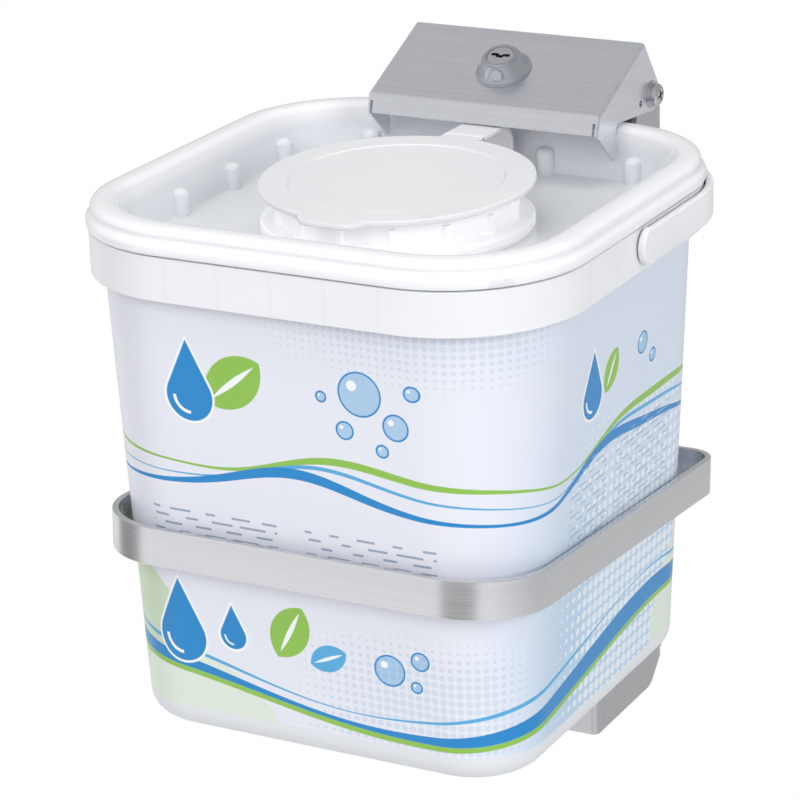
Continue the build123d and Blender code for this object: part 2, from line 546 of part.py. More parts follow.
def make_hood():
    """Hood of bent sheet: sloping plate, front lip and two cheeks that straddle the lid's rim."""
    py, pz = PIVOT
    tail = HOOD_TAIL
    outline = [HOOD_BACK, HOOD_FOLD, HOOD_LIP, HOOD_TIP, HOOD_TIP_BACK, HOOD_NOTCH,
               tail, (py + 5.5, tail[1] + 1.6), (py + 5.6, pz + 4.0)]
    solid = side_sheet(outline, -HOOD_HALF, HOOD_HALF)
    uy, uz = slope()
    fold_x = solid.edges().filter_by(Axis.X).sort_by_distance(Vertex(0, *HOOD_FOLD))[0]
    notch_x = solid.edges().filter_by(Axis.X).sort_by_distance(Vertex(0, *HOOD_NOTCH))[0]
    solid = fillet(notch_x, 2.5)
    solid = fillet(solid.edges().filter_by(Axis.X).sort_by_distance(Vertex(0, *HOOD_FOLD))[0],
                   HOOD_EDGE_ROUND * 1.6)
    top_edges = [e for e in solid.edges() if abs(abs(e.center().X) - HOOD_HALF) < 0.01
                 and abs(e.tangent_at(0.5).dot(Vector(0, uy, uz))) > 0.999
                 and e.center().Z > HOOD_FOLD[1]]
    solid = fillet(top_edges, HOOD_EDGE_ROUND)
    inner = HOOD_HALF - HOOD_SHEET
    ly, lz = HOOD_LIP[0] - HOOD_FOLD[0], HOOD_LIP[1] - HOOD_FOLD[1]
    lip = math.hypot(ly, lz)
    ly, lz = ly / lip, lz / lip
    under_plate = (HOOD_FOLD[0] + HOOD_SHEET * uz, HOOD_FOLD[1] - HOOD_SHEET * uy)
    behind_lip = (HOOD_FOLD[0] - HOOD_SHEET * lz, HOOD_FOLD[1] + HOOD_SHEET * ly)
    inside_lip = crossing(under_plate, (uy, uz), behind_lip, (ly, lz))
    far = 90.0
    hollow = side_sheet([inside_lip, (inside_lip[0] + far * uy, inside_lip[1] + far * uz),
                         (inside_lip[0] + far * uy, -far),
                         (inside_lip[0] + ly * (far + inside_lip[1]) / -lz, -far)], -inner, inner)
    below_lip = [HOOD_LIP]
    for across, down in ((1, 0), (1, 1), (0, 1)):
        below_lip.append((HOOD_LIP[0] + far * (across * -lz + down * ly),
                          HOOD_LIP[1] + far * (across * ly + down * lz)))
    hood = solid - hollow - side_sheet(below_lip, -inner, inner)
    top = (HOOD_FOLD[0] + ly * HOOD_RELIEF_START, HOOD_FOLD[1] + lz * HOOD_RELIEF_START)
    slot = [(top[0] + out * -lz + down * ly, top[1] + out * ly + down * lz)
            for out, down in ((-HOOD_SHEET, 0), (2, 0), (2, lip), (-HOOD_SHEET, lip))]
    for side in (-1, 1):
        hood -= side_sheet([(y, z) for y, z in slot], *sorted((side * (inner - HOOD_RELIEF), side * inner)))
    hood -= lock_plane() * Cylinder(LOCK_BARREL + 0.05, 12)
    for side in (-1, 1):
        faces = sorted((side * (inner - 1), side * (HOOD_HALF + 1)))
        hood -= x_rod(py, pz, PIVOT_SHANK + PIVOT_CLEAR, *faces)
        hood -= x_rod(*CHEEK_HOLE, CHEEK_HOLE_RADIUS, *faces)
    return hood


def both_sides(piece):
    """The piece and its mirror image across the middle, as separate solids."""
    return Compound(children=[piece, mirror(piece, Plane.YZ)])


def x_hexagon(y, z, flats, x0, x1):
    """Hexagonal bar along X."""
    hexagon = RegularPolygon(flats / 2, 6, major_radius=False)
    return extrude(Plane(origin=(x0, y, z), x_dir=(0, 1, 0), z_dir=(1, 0, 0)) * hexagon, x1 - x0)


def make_pivot_screws():
    """Pan head screws with a cross recess, one through each cheek and ear."""
    py, pz = PIVOT
    under = HOOD_HALF + SPACER_GAP + WASHER_THICK
    head = x_rod(py, pz, PIVOT_HEAD, under, under + PIVOT_HEAD_TALL)
    head = fillet(head.edges().sort_by(Axis.X)[-1], PIVOT_HEAD_TALL * 0.6)
    for turn in (0, 90):
        head -= Pos(under + PIVOT_HEAD_TALL, py, pz) * Rot(turn + 20, 0, 0) * Box(
            PIVOT_HEAD_TALL, PIVOT_HEAD * 1.1, 0.9)
    shank = x_rod(py, pz, PIVOT_SHANK, SPINE_HALF - SHEET - NUT_THICK - 1, under + 0.1)
    return both_sides(head + shank)


def make_pivot_washers():
    """Washers under the screw heads."""
    py, pz = PIVOT
    under = HOOD_HALF + SPACER_GAP
    washer = x_rod(py, pz, WASHER_RADIUS, under, under + WASHER_THICK)
    return both_sides(washer - x_rod(py, pz, PIVOT_SHANK + PIVOT_CLEAR, under - 1, under + 2))


def make_pivot_spacers():
    """Thin spacers between the hood's cheeks and the bracket's ears."""
    py, pz = PIVOT
    x0, x1 = SPINE_HALF, HOOD_HALF - HOOD_SHEET - SPACER_GAP
    spacer = x_rod(py, pz, WASHER_RADIUS, x0, x1)
    return both_sides(spacer - x_rod(py, pz, PIVOT_SHANK + PIVOT_CLEAR, x0 - 1, x1 + 1))


def make_pivot_nuts():
    """Nuts inside the ears."""
    py, pz = PIVOT
    x1 = SPINE_HALF - SHEET
    nut = x_hexagon(py, pz, NUT_FLATS, x1 - NUT_THICK, x1)
    return both_sides(nut - x_rod(py, pz, PIVOT_SHANK + PIVOT_CLEAR, x1 - NUT_THICK - 1, x1 + 1))


def turned(points):
    """Solid of revolution about Z from (radius, height) points."""
    return revolve(Plane.XZ * make_face(Polyline(*points, close=True)), Axis.Z)


def make_lock_housing():
    """Lock housing: thin flange, conical nose and the barrel through the plate."""
    body = turned([(0, -LOCK_DEEP), (LOCK_BARREL, -LOCK_DEEP), (LOCK_BARREL, 0), (LOCK_FLANGE, 0),
                   (LOCK_FLANGE, LOCK_FLANGE_THICK), (LOCK_BASE, LOCK_FLANGE_THICK),
                   (LOCK_NOSE + 0.6, LOCK_PROUD - 0.9), (LOCK_NOSE, LOCK_PROUD - 0.2),
                   (LOCK_NOSE - 0.4, LOCK_PROUD), (0, LOCK_PROUD)])
    body -= upright(PLUG_RADIUS + PLUG_CLEAR, -LOCK_DEEP - 1, LOCK_PROUD + 1)
    return lock_plane() * body


def make_lock_nut():
    """Hexagonal nut that clamps the housing to the plate."""
    hexagon = extrude(RegularPolygon(LOCK_NUT_FLATS / 2, 6, major_radius=False), LOCK_NUT_THICK)
    hexagon = Pos(0, 0, -HOOD_SHEET - LOCK_NUT_THICK) * hexagon
    return lock_plane() * (hexagon - upright(LOCK_BARREL + 0.05, -20, 0))


def cam_top():
    """Depth of the cam's upper face below the plate's outer face."""
    return LOCK_DEEP + CAM_GAP


def make_lock_plug():
    """Turning plug: keyway in the nose and a square tail for the cam."""
    plug = upright(PLUG_RADIUS, -cam_top(), LOCK_PROUD - 0.3)
    for lobe in range(3):
        plug -= Pos((lobe - 1) * KEYWAY_LONG / 3, (0.45, -0.45, 0.45)[lobe],
                    LOCK_PROUD - KEYWAY_DEEP / 2) * Box(KEYWAY_LONG / 3 + 0.6, KEYWAY_WIDE, KEYWAY_DEEP)
    plug += Pos(0, 0, -cam_top() - CAM_THICK / 2) * Box(CAM_SQUARE, CAM_SQUARE, CAM_THICK)
    return lock_plane() * plug


def make_lock_cam():
    """Flat cam on the plug's square, its arm to the right while unlocked."""
    low = -cam_top() - CAM_THICK
    cam = upright(CAM_HUB, low, low + CAM_THICK)
    arm = Pos(0, 0, low) * Box(CAM_REACH - CAM_WIDE / 2, CAM_WIDE, CAM_THICK,
                               align=(Align.MIN, Align.CENTER, Align.MIN))
    end = Pos(CAM_REACH - CAM_WIDE / 2, 0, low) * Cylinder(
        CAM_WIDE / 2, CAM_THICK, align=(Align.CENTER, Align.CENTER, Align.MIN))
    hole = Pos(0, 0, low) * Box(CAM_SQUARE + 0.1, CAM_SQUARE + 0.1, 4 * CAM_THICK)
    return lock_plane() * (cam + arm + end - hole)


def make_cam_screw():
    """Screw that holds the cam on the plug."""
    top = -cam_top() - CAM_THICK
    head = Pos(0, 0, top - CAM_SCREW_TALL) * extrude(
        RegularPolygon(CAM_SCREW_HEAD, 6, major_radius=False), CAM_SCREW_TALL)
    return lock_plane() * head


def make_keeper():
    """Keeper welded to the web: a leg, a step behind the cam's end and a tongue over the locked cam."""
    under = cam_top() - KEEPER_GAP
    over = under - KEEPER_THICK
    web = WALL_TO_TUB - SHEET
    step = CAM_REACH + KEEPER_CLEAR
    back = step + KEEPER_THICK
    low = plate_point(back, KEEPER_STEP)
    uy, uz = slope()
    beneath = plate_point(step, (plate_point(step, 0)[1] - low[1] + KEEPER_THICK) / uy)
    outline = [plate_point(KEEPER_START, over), plate_point(back - KEEPER_CUT, over),
               plate_point(back, over + KEEPER_CUT), low, (web, low[1]), (web, low[1] - KEEPER_LEG),
               (web - KEEPER_THICK, low[1] - KEEPER_LEG), (web - KEEPER_THICK, beneath[1]), beneath,
               plate_point(step, under), plate_point(KEEPER_START, under)]
    return side_sheet(outline, -KEEPER_HALF, KEEPER_HALF)


PIECES = {
    "wall_channel": make_spine,
    "retaining_ring": make_ring,
    "support_foot": make_foot,
    "lock_keeper": make_keeper,
    "hood_shell": make_hood,
    "pivot_screws": make_pivot_screws,
    "pivot_washers": make_pivot_washers,
    "pivot_spacers": make_pivot_spacers,
    "pivot_nuts": make_pivot_nuts,
    "lock_housing": make_lock_housing,
    "lock_nut": make_lock_nut,
    "lock_plug": make_lock_plug,
    "lock_cam": make_lock_cam,
    "cam_screw": make_cam_screw,
    "tub": make_tub,
    "bail_handle": make_bail,
    "tray_lid": make_lid,
    "dispensing_collar": make_collar,
    "dispensing_gate": make_gate,
    "hinge_band": make_hinge_band,
    "flip_cap": make_cap,
    "wipes_roll": make_roll,
}

os.makedirs("parts", exist_ok=True)
for name, make in PIECES.items():
    export_step(at_tub(make()), f"parts/{name}.step")
print(f"hinge line y {HINGE_Y - WALL_TO_TUB:.2f} z {hinge_z() + SKIRT_HEIGHT_POS:.2f}")
print(f"hood pivot y {PIVOT[0] - WALL_TO_TUB:.2f} z {PIVOT[1] + SKIRT_HEIGHT_POS:.2f}")
lock = lock_plane()
print(f"lock y {lock.origin.Y - WALL_TO_TUB:.3f} z {lock.origin.Z + SKIRT_HEIGHT_POS:.3f}",
      f"axis {lock.z_dir.Y:.4f} {lock.z_dir.Z:.4f}")
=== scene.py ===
"""Looks of a wall dispenser for a tub of wipes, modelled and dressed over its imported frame.

Lengths on the bench are millimetres from the tub's upright centre line and the bottom edge of
its skirt, as in the part's source, and every finished piece is placed in metres.
"""

import json
import logging
import math
from dataclasses import dataclass
from enum import Enum
from typing import Any, Callable, Sequence, Union

import bmesh
import bpy
from mathutils import Matrix, Vector

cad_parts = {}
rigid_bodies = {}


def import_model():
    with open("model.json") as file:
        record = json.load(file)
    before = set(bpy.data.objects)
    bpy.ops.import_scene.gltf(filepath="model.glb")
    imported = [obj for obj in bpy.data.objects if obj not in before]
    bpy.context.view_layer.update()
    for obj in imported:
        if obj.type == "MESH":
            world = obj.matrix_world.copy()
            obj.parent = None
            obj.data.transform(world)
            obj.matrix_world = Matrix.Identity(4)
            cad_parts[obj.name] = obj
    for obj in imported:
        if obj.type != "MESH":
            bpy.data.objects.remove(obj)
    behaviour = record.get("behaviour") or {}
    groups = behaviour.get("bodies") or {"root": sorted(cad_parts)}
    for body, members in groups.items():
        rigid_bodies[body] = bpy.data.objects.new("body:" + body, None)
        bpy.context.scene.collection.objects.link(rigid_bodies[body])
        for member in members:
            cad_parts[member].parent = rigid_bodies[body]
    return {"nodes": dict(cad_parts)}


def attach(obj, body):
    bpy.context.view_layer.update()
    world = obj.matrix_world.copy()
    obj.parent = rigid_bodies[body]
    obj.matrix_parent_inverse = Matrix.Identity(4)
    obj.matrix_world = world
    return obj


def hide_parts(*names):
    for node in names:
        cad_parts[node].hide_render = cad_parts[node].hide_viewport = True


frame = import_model()
LOG = logging.getLogger("dispenser")
MM = 0.001
# From the wall to the tub's centre line, and from the wall screws' middle up to the skirt's edge.
WALL_TO_TUB = 133.0
SKIRT_UP = 80.0
# A quarter of the way round the sleeve, and its print map's size and start, in millimetres.
QUARTER = 160.0
MAP_SIZE = (700.0, 200.0)
MAP_START = (350.0, 190.0)
Colour = tuple[float, float, float, float]
Points = Sequence[tuple[float, float]]
WHITE = (1.0, 1.0, 1.0, 1.0)
NOWHERE = (0.0, 0.0, 0.0)


def at_tub(y: float = 0.0, z: float = 0.0, turn: float = 0.0) -> Matrix:
    """Place of a piece drawn in millimetres about its own origin.

    Args:
        y, z: The origin's place in millimetres, from the tub's centre line and the skirt's edge.
        turn: Degrees about X.

    Returns:
        The matrix that brings the piece to the wall frame in metres.
    """
    shift = Matrix.Translation(Vector((0.0, y - WALL_TO_TUB, z + SKIRT_UP)) * MM)
    return shift @ Matrix.Rotation(math.radians(turn), 4, "X") @ Matrix.Scale(MM, 4)


def paint(red: int, green: int, blue: int) -> Colour:
    """A screen colour, 0 to 255 each, as the linear colour that a shader takes."""
    def linear(level: int) -> float:
        share = level / 255
        return share / 12.92 if share <= 0.04045 else ((share + 0.055) / 1.055) ** 2.4
    return linear(red), linear(green), linear(blue), 1.0


class Pick(Enum):
    """What a selection is made of."""

    VERTS = "VERT"
    EDGES = "EDGE"
    FACES = "FACE"


class Bench:
    """One mesh shaped with operators, in millimetres, or in metres where it is a CAD copy."""

    # Places nearer than this are taken as level, in millimetres.
    NEAR = 0.01
    # Two loops are twisted where an edge across is longer than STRETCH distances and SLACK more.
    STRETCH = 1.5
    SLACK = 0.5
    CORNER_STEPS = 14
    HOOP_POINTS = 60
    # A CAD copy is merged within SAME_PLACE metres, its flat faces are joined within SAME_PLANE,
    # and its edges are eased where they are sharper than SHARP.
    SHARP = math.radians(28.0)
    SAME_PLACE = 0.000002
    SAME_PLANE = math.radians(0.6)

    def __init__(self, name: str) -> None:
        """Starts an empty bench for the piece of that name."""
        self.name = name
        self.body: Any = None
        self.loops = 0

    def add(self, kind: str, **size: Any) -> None:
        """Adds a primitive, which is then all that is selected.

        Args:
            kind: The primitive's name in its operator.
            size: The operator's settings.
        """
        make = getattr(bpy.ops.mesh, f"primitive_{kind}_add")
        if self.body is None:
            bpy.ops.object.select_all(action="DESELECT")
            make(**size)
            self.body = bpy.context.object
            self.body.name = self.body.data.name = self.name
            bpy.ops.object.transform_apply(location=True, rotation=True, scale=True)
            self.mode("EDIT")
            self.everything()
        else:
            bpy.ops.mesh.select_mode(type="VERT")
            bpy.ops.mesh.select_all(action="DESELECT")
            make(**size)

    def mesh(self) -> Any:
        """The mesh being edited."""
        return bmesh.from_edit_mesh(self.body.data)

    def mode(self, kind: str) -> None:
        """Goes to EDIT or OBJECT mode, where it isn't there yet."""
        if self.body.mode != kind:
            bpy.ops.object.mode_set(mode=kind)

    def everything(self) -> None:
        """Selects the whole mesh."""
        bpy.ops.mesh.select_mode(type="VERT")
        bpy.ops.mesh.select_all(action="SELECT")

    def spin(self, degrees: float, centre: Sequence[float] = (0, 0, 0)) -> None:
        """Turns what is selected about the upright line through a point."""
        bpy.ops.transform.rotate(value=math.radians(degrees), orient_axis="Z",
                                 center_override=centre)

    def pick(self, kind: Pick, test: Callable[[Any], bool]) -> None:
        """Selects the vertices, edges or faces that pass a test.

        Args:
            kind: What to select.
            test: Takes one of them and says whether it is wanted.
        """
        bpy.ops.mesh.select_mode(type=kind.value)
        bpy.ops.mesh.select_all(action="DESELECT")
        mesh = self.mesh()
        mesh.normal_update()
        for item in {Pick.VERTS: mesh.verts, Pick.EDGES: mesh.edges, Pick.FACES: mesh.faces}[kind]:
            if test(item):
                item.select_set(True)
        mesh.select_flush_mode()
        bmesh.update_edit_mesh(self.body.data)

    def tag(self) -> int:
        """Gives the vertices that have no number yet the next one, and returns it."""
        self.loops += 1
        mesh = self.mesh()
        layer = mesh.verts.layers.int.get("loop") or mesh.verts.layers.int.new("loop")
        for vert in mesh.verts:
            if not vert[layer]:
                vert[layer] = self.loops
        return self.loops

    def tagged(self, item: Any, *numbers: int) -> bool:
        """Whether all the vertices of an edge or face have one and the same of these numbers."""
        layer = self.layer()
        found = {vert[layer] for vert in item.verts}
        return len(found) == 1 and found <= set(numbers)

    def loop(self, half: tuple[float, float], corner: float, z: float, back: float = 0.0,
             shift: float = 0.0) -> int:
        """Adds a loop of edges round a rectangle with rounded corners.

        Args:
            half: Half widths along X and Y.
            corner: Radius of the front corners, and of all four where back isn't given.
            z: Height of the loop.
            back: Radius of the back corners.
            shift: The middle's place along Y.

        Returns:
            The loop's number.
        """
        self.add("plane", size=2)
        bpy.ops.transform.resize(value=(half[0], half[1], 1), center_override=(0, 0, 0))
        bpy.ops.transform.translate(value=(0, shift, z))
        for side, radius in ((-1, corner), (1, back or corner)):
            self.pick(Pick.VERTS, lambda v: self.fresh(v) and abs(
                v.co.y - shift - side * half[1]) < self.NEAR and abs(abs(v.co.x) - half[0]) < self.NEAR)
            bpy.ops.mesh.bevel(offset=radius, offset_type="OFFSET", segments=self.CORNER_STEPS,
                               affect="VERTICES", profile=0.5, clamp_overlap=False)
        number = self.tag()
        self.pick(Pick.FACES, lambda f: self.tagged(f, number))
        bpy.ops.mesh.delete(type="ONLY_FACE")
        return number

    def squares(self, half: float, corner: float, profile: Points) -> list[int]:
        """Adds a square loop for each (inset, height) of a profile, and returns their numbers."""
        return [self.loop((half - inset,) * 2, corner - inset, z) for inset, z in profile]

    def layer(self) -> Any:
        """The layer that holds the loops' numbers."""
        return self.mesh().verts.layers.int.get("loop")

    def hoop(self, radius: float, z: float, y: float = 0.0) -> int:
        """Adds a round loop of edges.

        Args:
            radius: Its radius.
            z: Its height.
            y: Its centre's place along Y.

        Returns:
            The loop's number.
        """
        self.add("circle", vertices=self.HOOP_POINTS, radius=radius, fill_type="NOTHING")
        bpy.ops.transform.translate(value=(0, y, z))
        return self.tag()

    def rims(self, *numbers: int) -> None:
        """Selects the open edges of the loops with these numbers."""
        self.pick(Pick.EDGES, lambda e: len(e.link_faces) < 2 and self.tagged(e, *numbers))

    def bridge(self, first: int, second: int) -> None:
        """Joins two loops with faces, turned by quarters until none of them is twisted."""
        mesh = self.mesh()
        layer = self.layer()
        rings = [[v.co.copy() for v in mesh.verts if v[layer] == number] for number in (first, second)]
        apart = max(min((a - b).length for b in rings[1]) for a in rings[0])
        for quarter in range(4):
            self.rims(first, second)
            bpy.ops.mesh.bridge_edge_loops(twist_offset=quarter * len(rings[0]) // 4)
            layer = self.layer()
            across = [e.calc_length() for e in self.mesh().edges
                      if {v[layer] for v in e.verts} == {first, second}]
            if max(across) < self.STRETCH * apart + self.SLACK:
                return
            LOG.debug("loops %d and %d were twisted at quarter %d", first, second, quarter)
            self.pick(Pick.EDGES, lambda e: {v[self.layer()] for v in e.verts} == {first, second})
            bpy.ops.mesh.delete(type="EDGE")

    def annulus(self, first: int, second: int) -> None:
        """Closes the flat space between two loops, one inside the other."""
        self.rims(first, second)
        bpy.ops.mesh.fill(use_beauty=False)

    def fill(self, number: int) -> None:
        """Closes a loop with a face."""
        self.rims(number)
        bpy.ops.mesh.edge_face_add()

    def chain(self, loops: Sequence[int], closed: bool = False) -> None:
        """Joins loops in their order, and the last to the first where closed."""
        for first, second in zip(loops, loops[1:]):
            self.bridge(first, second)
        if closed:
            self.bridge(loops[-1], loops[0])

    def turn(self, profile: Points, centre: tuple[float, float] = (0.0, 0.0), vertices: int = 96,
             caps: bool = True) -> None:
        """Adds a turned form about an upright line: a circle, extruded and resized ring by ring.

        Args:
            profile: (radius, height) of each ring.
            centre: The line's place along X and Y.
            vertices: Points in each ring.
            caps: Whether the ends are closed with flat faces, or joined to each other.
        """
        (radius, z), *rest = profile
        x, y = centre
        self.add("circle", vertices=vertices, radius=radius, fill_type="NGON" if caps else "NOTHING")
        bpy.ops.transform.translate(value=(x, y, z))
        bpy.ops.mesh.select_mode(type="EDGE")
        for wider, higher in rest:
            bpy.ops.mesh.extrude_edges_move(TRANSFORM_OT_translate={"value": (0, 0, higher - z)})
            share = wider / radius
            bpy.ops.transform.resize(value=(share, share, 1), center_override=(x, y, higher))
            radius, z = wider, higher
        if caps:
            bpy.ops.mesh.edge_face_add()
        else:
            self.pick(Pick.EDGES, lambda e: len(e.link_faces) == 1 and all(
                self.fresh(v) for v in e.verts))
            bpy.ops.mesh.bridge_edge_loops()
        self.tag()

    def block(self, low: Sequence[float], high: Sequence[float], round_by: float = 0.3,
              segments: int = 2) -> None:
        """Adds a block between two corners with rounded edges.

        Args:
            low, high: Its corners.
            round_by: Width of the rounding.
            segments: Steps in it.
        """
        self.add("cube", size=1)
        size = [b - a for a, b in zip(low, high)]
        bpy.ops.transform.resize(value=size, center_override=(0, 0, 0))
        bpy.ops.transform.translate(value=[(a + b) / 2 for a, b in zip(low, high)])
        bpy.ops.mesh.bevel(offset=round_by, segments=segments, affect="EDGES", profile=0.5)
        self.tag()

    def rod(self, radius: float, centre: Sequence[float], long: float, round_by: float = 0.6,
            vertices: int = 48) -> None:
        """Adds a rod along X with rounded ends.

        Args:
            radius: Its radius.
            centre: Its middle.
            long: Its length.
            round_by: Width of the rounding.
            vertices: Points round it.
        """
        self.add("cylinder", vertices=vertices, radius=radius, depth=long,
                 rotation=(0, math.pi / 2, 0), location=tuple(centre))
        self.pick(Pick.EDGES, lambda e: all(self.fresh(v) for v in e.verts)
                  and abs(e.verts[0].co.x - e.verts[1].co.x) < self.NEAR)
        bpy.ops.mesh.bevel(offset=round_by, segments=3, affect="EDGES", profile=0.5)
        self.pick(Pick.VERTS, self.fresh)

    def grab(self) -> None:
        """Selects what was numbered last, and what was added since."""
        self.pick(Pick.VERTS, lambda v: self.fresh(v) or v[self.layer()] == self.loops)

    def fresh(self, vert: Any) -> bool:
        """Whether a vertex has no number yet."""
        layer = self.layer()
        return layer is None or not vert[layer]

    def repeat(self, count: int, turn: float) -> None:
        """Copies what is selected until there are count, each turned on by so many degrees."""
        for _ in range(count - 1):
            bpy.ops.mesh.duplicate()
            self.spin(turn)

    def cut(self, point: Sequence[float], away: Sequence[float]) -> None:
        """Cuts off what is selected past a plane, and closes the cut.

        Args:
            point: A point of the plane.
            away: Direction of the side that goes.
        """
        bpy.ops.mesh.bisect(plane_co=point, plane_no=away, clear_outer=True)
        self.pick(Pick.EDGES, lambda e: len(e.link_faces) == 1)
        bpy.ops.mesh.fill_holes(sides=0)

    def modify(self, kind: str, **settings: Any) -> None:
        """Applies a modifier to the mesh so far.

        Args:
            kind: The modifier's type.
            settings: Its settings.
        """
        self.mode("OBJECT")
        modifier = self.body.modifiers.new(kind.lower(), kind)
        for key, value in settings.items():
            setattr(modifier, key, value)
        bpy.ops.object.modifier_apply(modifier=modifier.name)

    def clean(self, join: float = 0.002) -> None:
        """Merges doubles and points the faces outwards, and leaves edit mode."""
        self.mode("EDIT")
        self.everything()
        bpy.ops.mesh.remove_doubles(threshold=join)
        bpy.ops.mesh.normals_make_consistent(inside=False)
        self.mode("OBJECT")

    def done(self, place: Matrix, angle: float = 32.0, join: float = 0.002) -> Any:
        """Places the piece in metres and smooths it.

        Args:
            place: From the bench to the wall frame.
            angle: Edges sharper than this stay sharp, in degrees.
            join: Vertices nearer than this are merged.

        Returns:
            The finished object.
        """
        self.clean(join)
        self.body.matrix_world = place
        bpy.ops.object.transform_apply(location=True, rotation=True, scale=True)
        bpy.ops.object.shade_smooth_by_angle(angle=math.radians(angle))
        self.modify("WEIGHTED_NORMAL", keep_sharp=True)
        loops = self.body.data.attributes.get("loop")
        if loops:
            self.body.data.attributes.remove(loops)
        return self.body

    @classmethod
    def copy_of(cls, node: str, name: str) -> "Bench":
        """A bench with a merged copy of a CAD node on it, in metres.

        Args:
            node: The node's name.
            name: The new piece's name.

        Returns:
            The bench, in object mode.
        """
        bench = cls(name)
        source = frame["nodes"][node]
        bpy.ops.object.select_all(action="DESELECT")
        bench.body = bpy.data.objects.new(name, source.data.copy())
        bpy.context.scene.collection.objects.link(bench.body)
        bpy.context.view_layer.objects.active = bench.body
        bench.body.select_set(True)
        bench.body.data.materials.clear()
        bench.mode("EDIT")
        bench.everything()
        bpy.ops.mesh.remove_doubles(threshold=cls.SAME_PLACE)
        bpy.ops.mesh.dissolve_limited(angle_limit=cls.SAME_PLANE)
        bench.mode("OBJECT")
        return bench

    def eased(self, width: float, segments: int = 2) -> Any:
        """Rounds the copy's sharp edges and smooths it.

        Args:
            width: Width of the rounding in millimetres.
            segments: Steps in it.

        Returns:
            The finished object.
        """
        self.modify("BEVEL", width=width * MM, segments=segments, limit_method="ANGLE",
                    angle_limit=self.SHARP, use_clamp_overlap=True)
        bpy.ops.object.shade_smooth_by_angle(angle=self.SHARP)
        self.modify("WEIGHTED_NORMAL", keep_sharp=True)
        return self.body


Value = Union["Sock", float, int]


class Sock:
    """One output of a shader's node, which can stand in sums."""

    def __init__(self, tree: "Tree", node: Any, output: Union[int, str] = 0) -> None:
        """Keeps the output and the tree that it is in."""
        self.tree, self.owner, self.socket = tree, node, node.outputs[output]

    def out(self, output: Union[int, str]) -> "Sock":
        """Another output of the same node."""
        return Sock(self.tree, self.owner, output)

    def __add__(self, other: Value) -> "Sock":
        """This plus other."""
        return self.tree.math("ADD", self, other)

    def __sub__(self, other: Value) -> "Sock":
        """This less other."""
        return self.tree.math("SUBTRACT", self, other)

    def __rsub__(self, other: Value) -> "Sock":
        """Other less this."""
        return self.tree.math("SUBTRACT", other, self)

    def __mul__(self, other: Value) -> "Sock":
        """This times other."""
        return self.tree.math("MULTIPLY", self, other)

    def __truediv__(self, other: Value) -> "Sock":
        """This over other."""
        return self.tree.math("DIVIDE", self, other)

    def __lt__(self, other: Value) -> "Sock":
        """1 where this is less than other."""
        return self.tree.math("LESS_THAN", self, other)

    def __gt__(self, other: Value) -> "Sock":
        """1 where this is more than other."""
        return self.tree.math("GREATER_THAN", self, other)

    def __abs__(self) -> "Sock":
        """Its size without its sign."""
        return self.tree.math("ABSOLUTE", self)

    __radd__ = __add__
    __rmul__ = __mul__


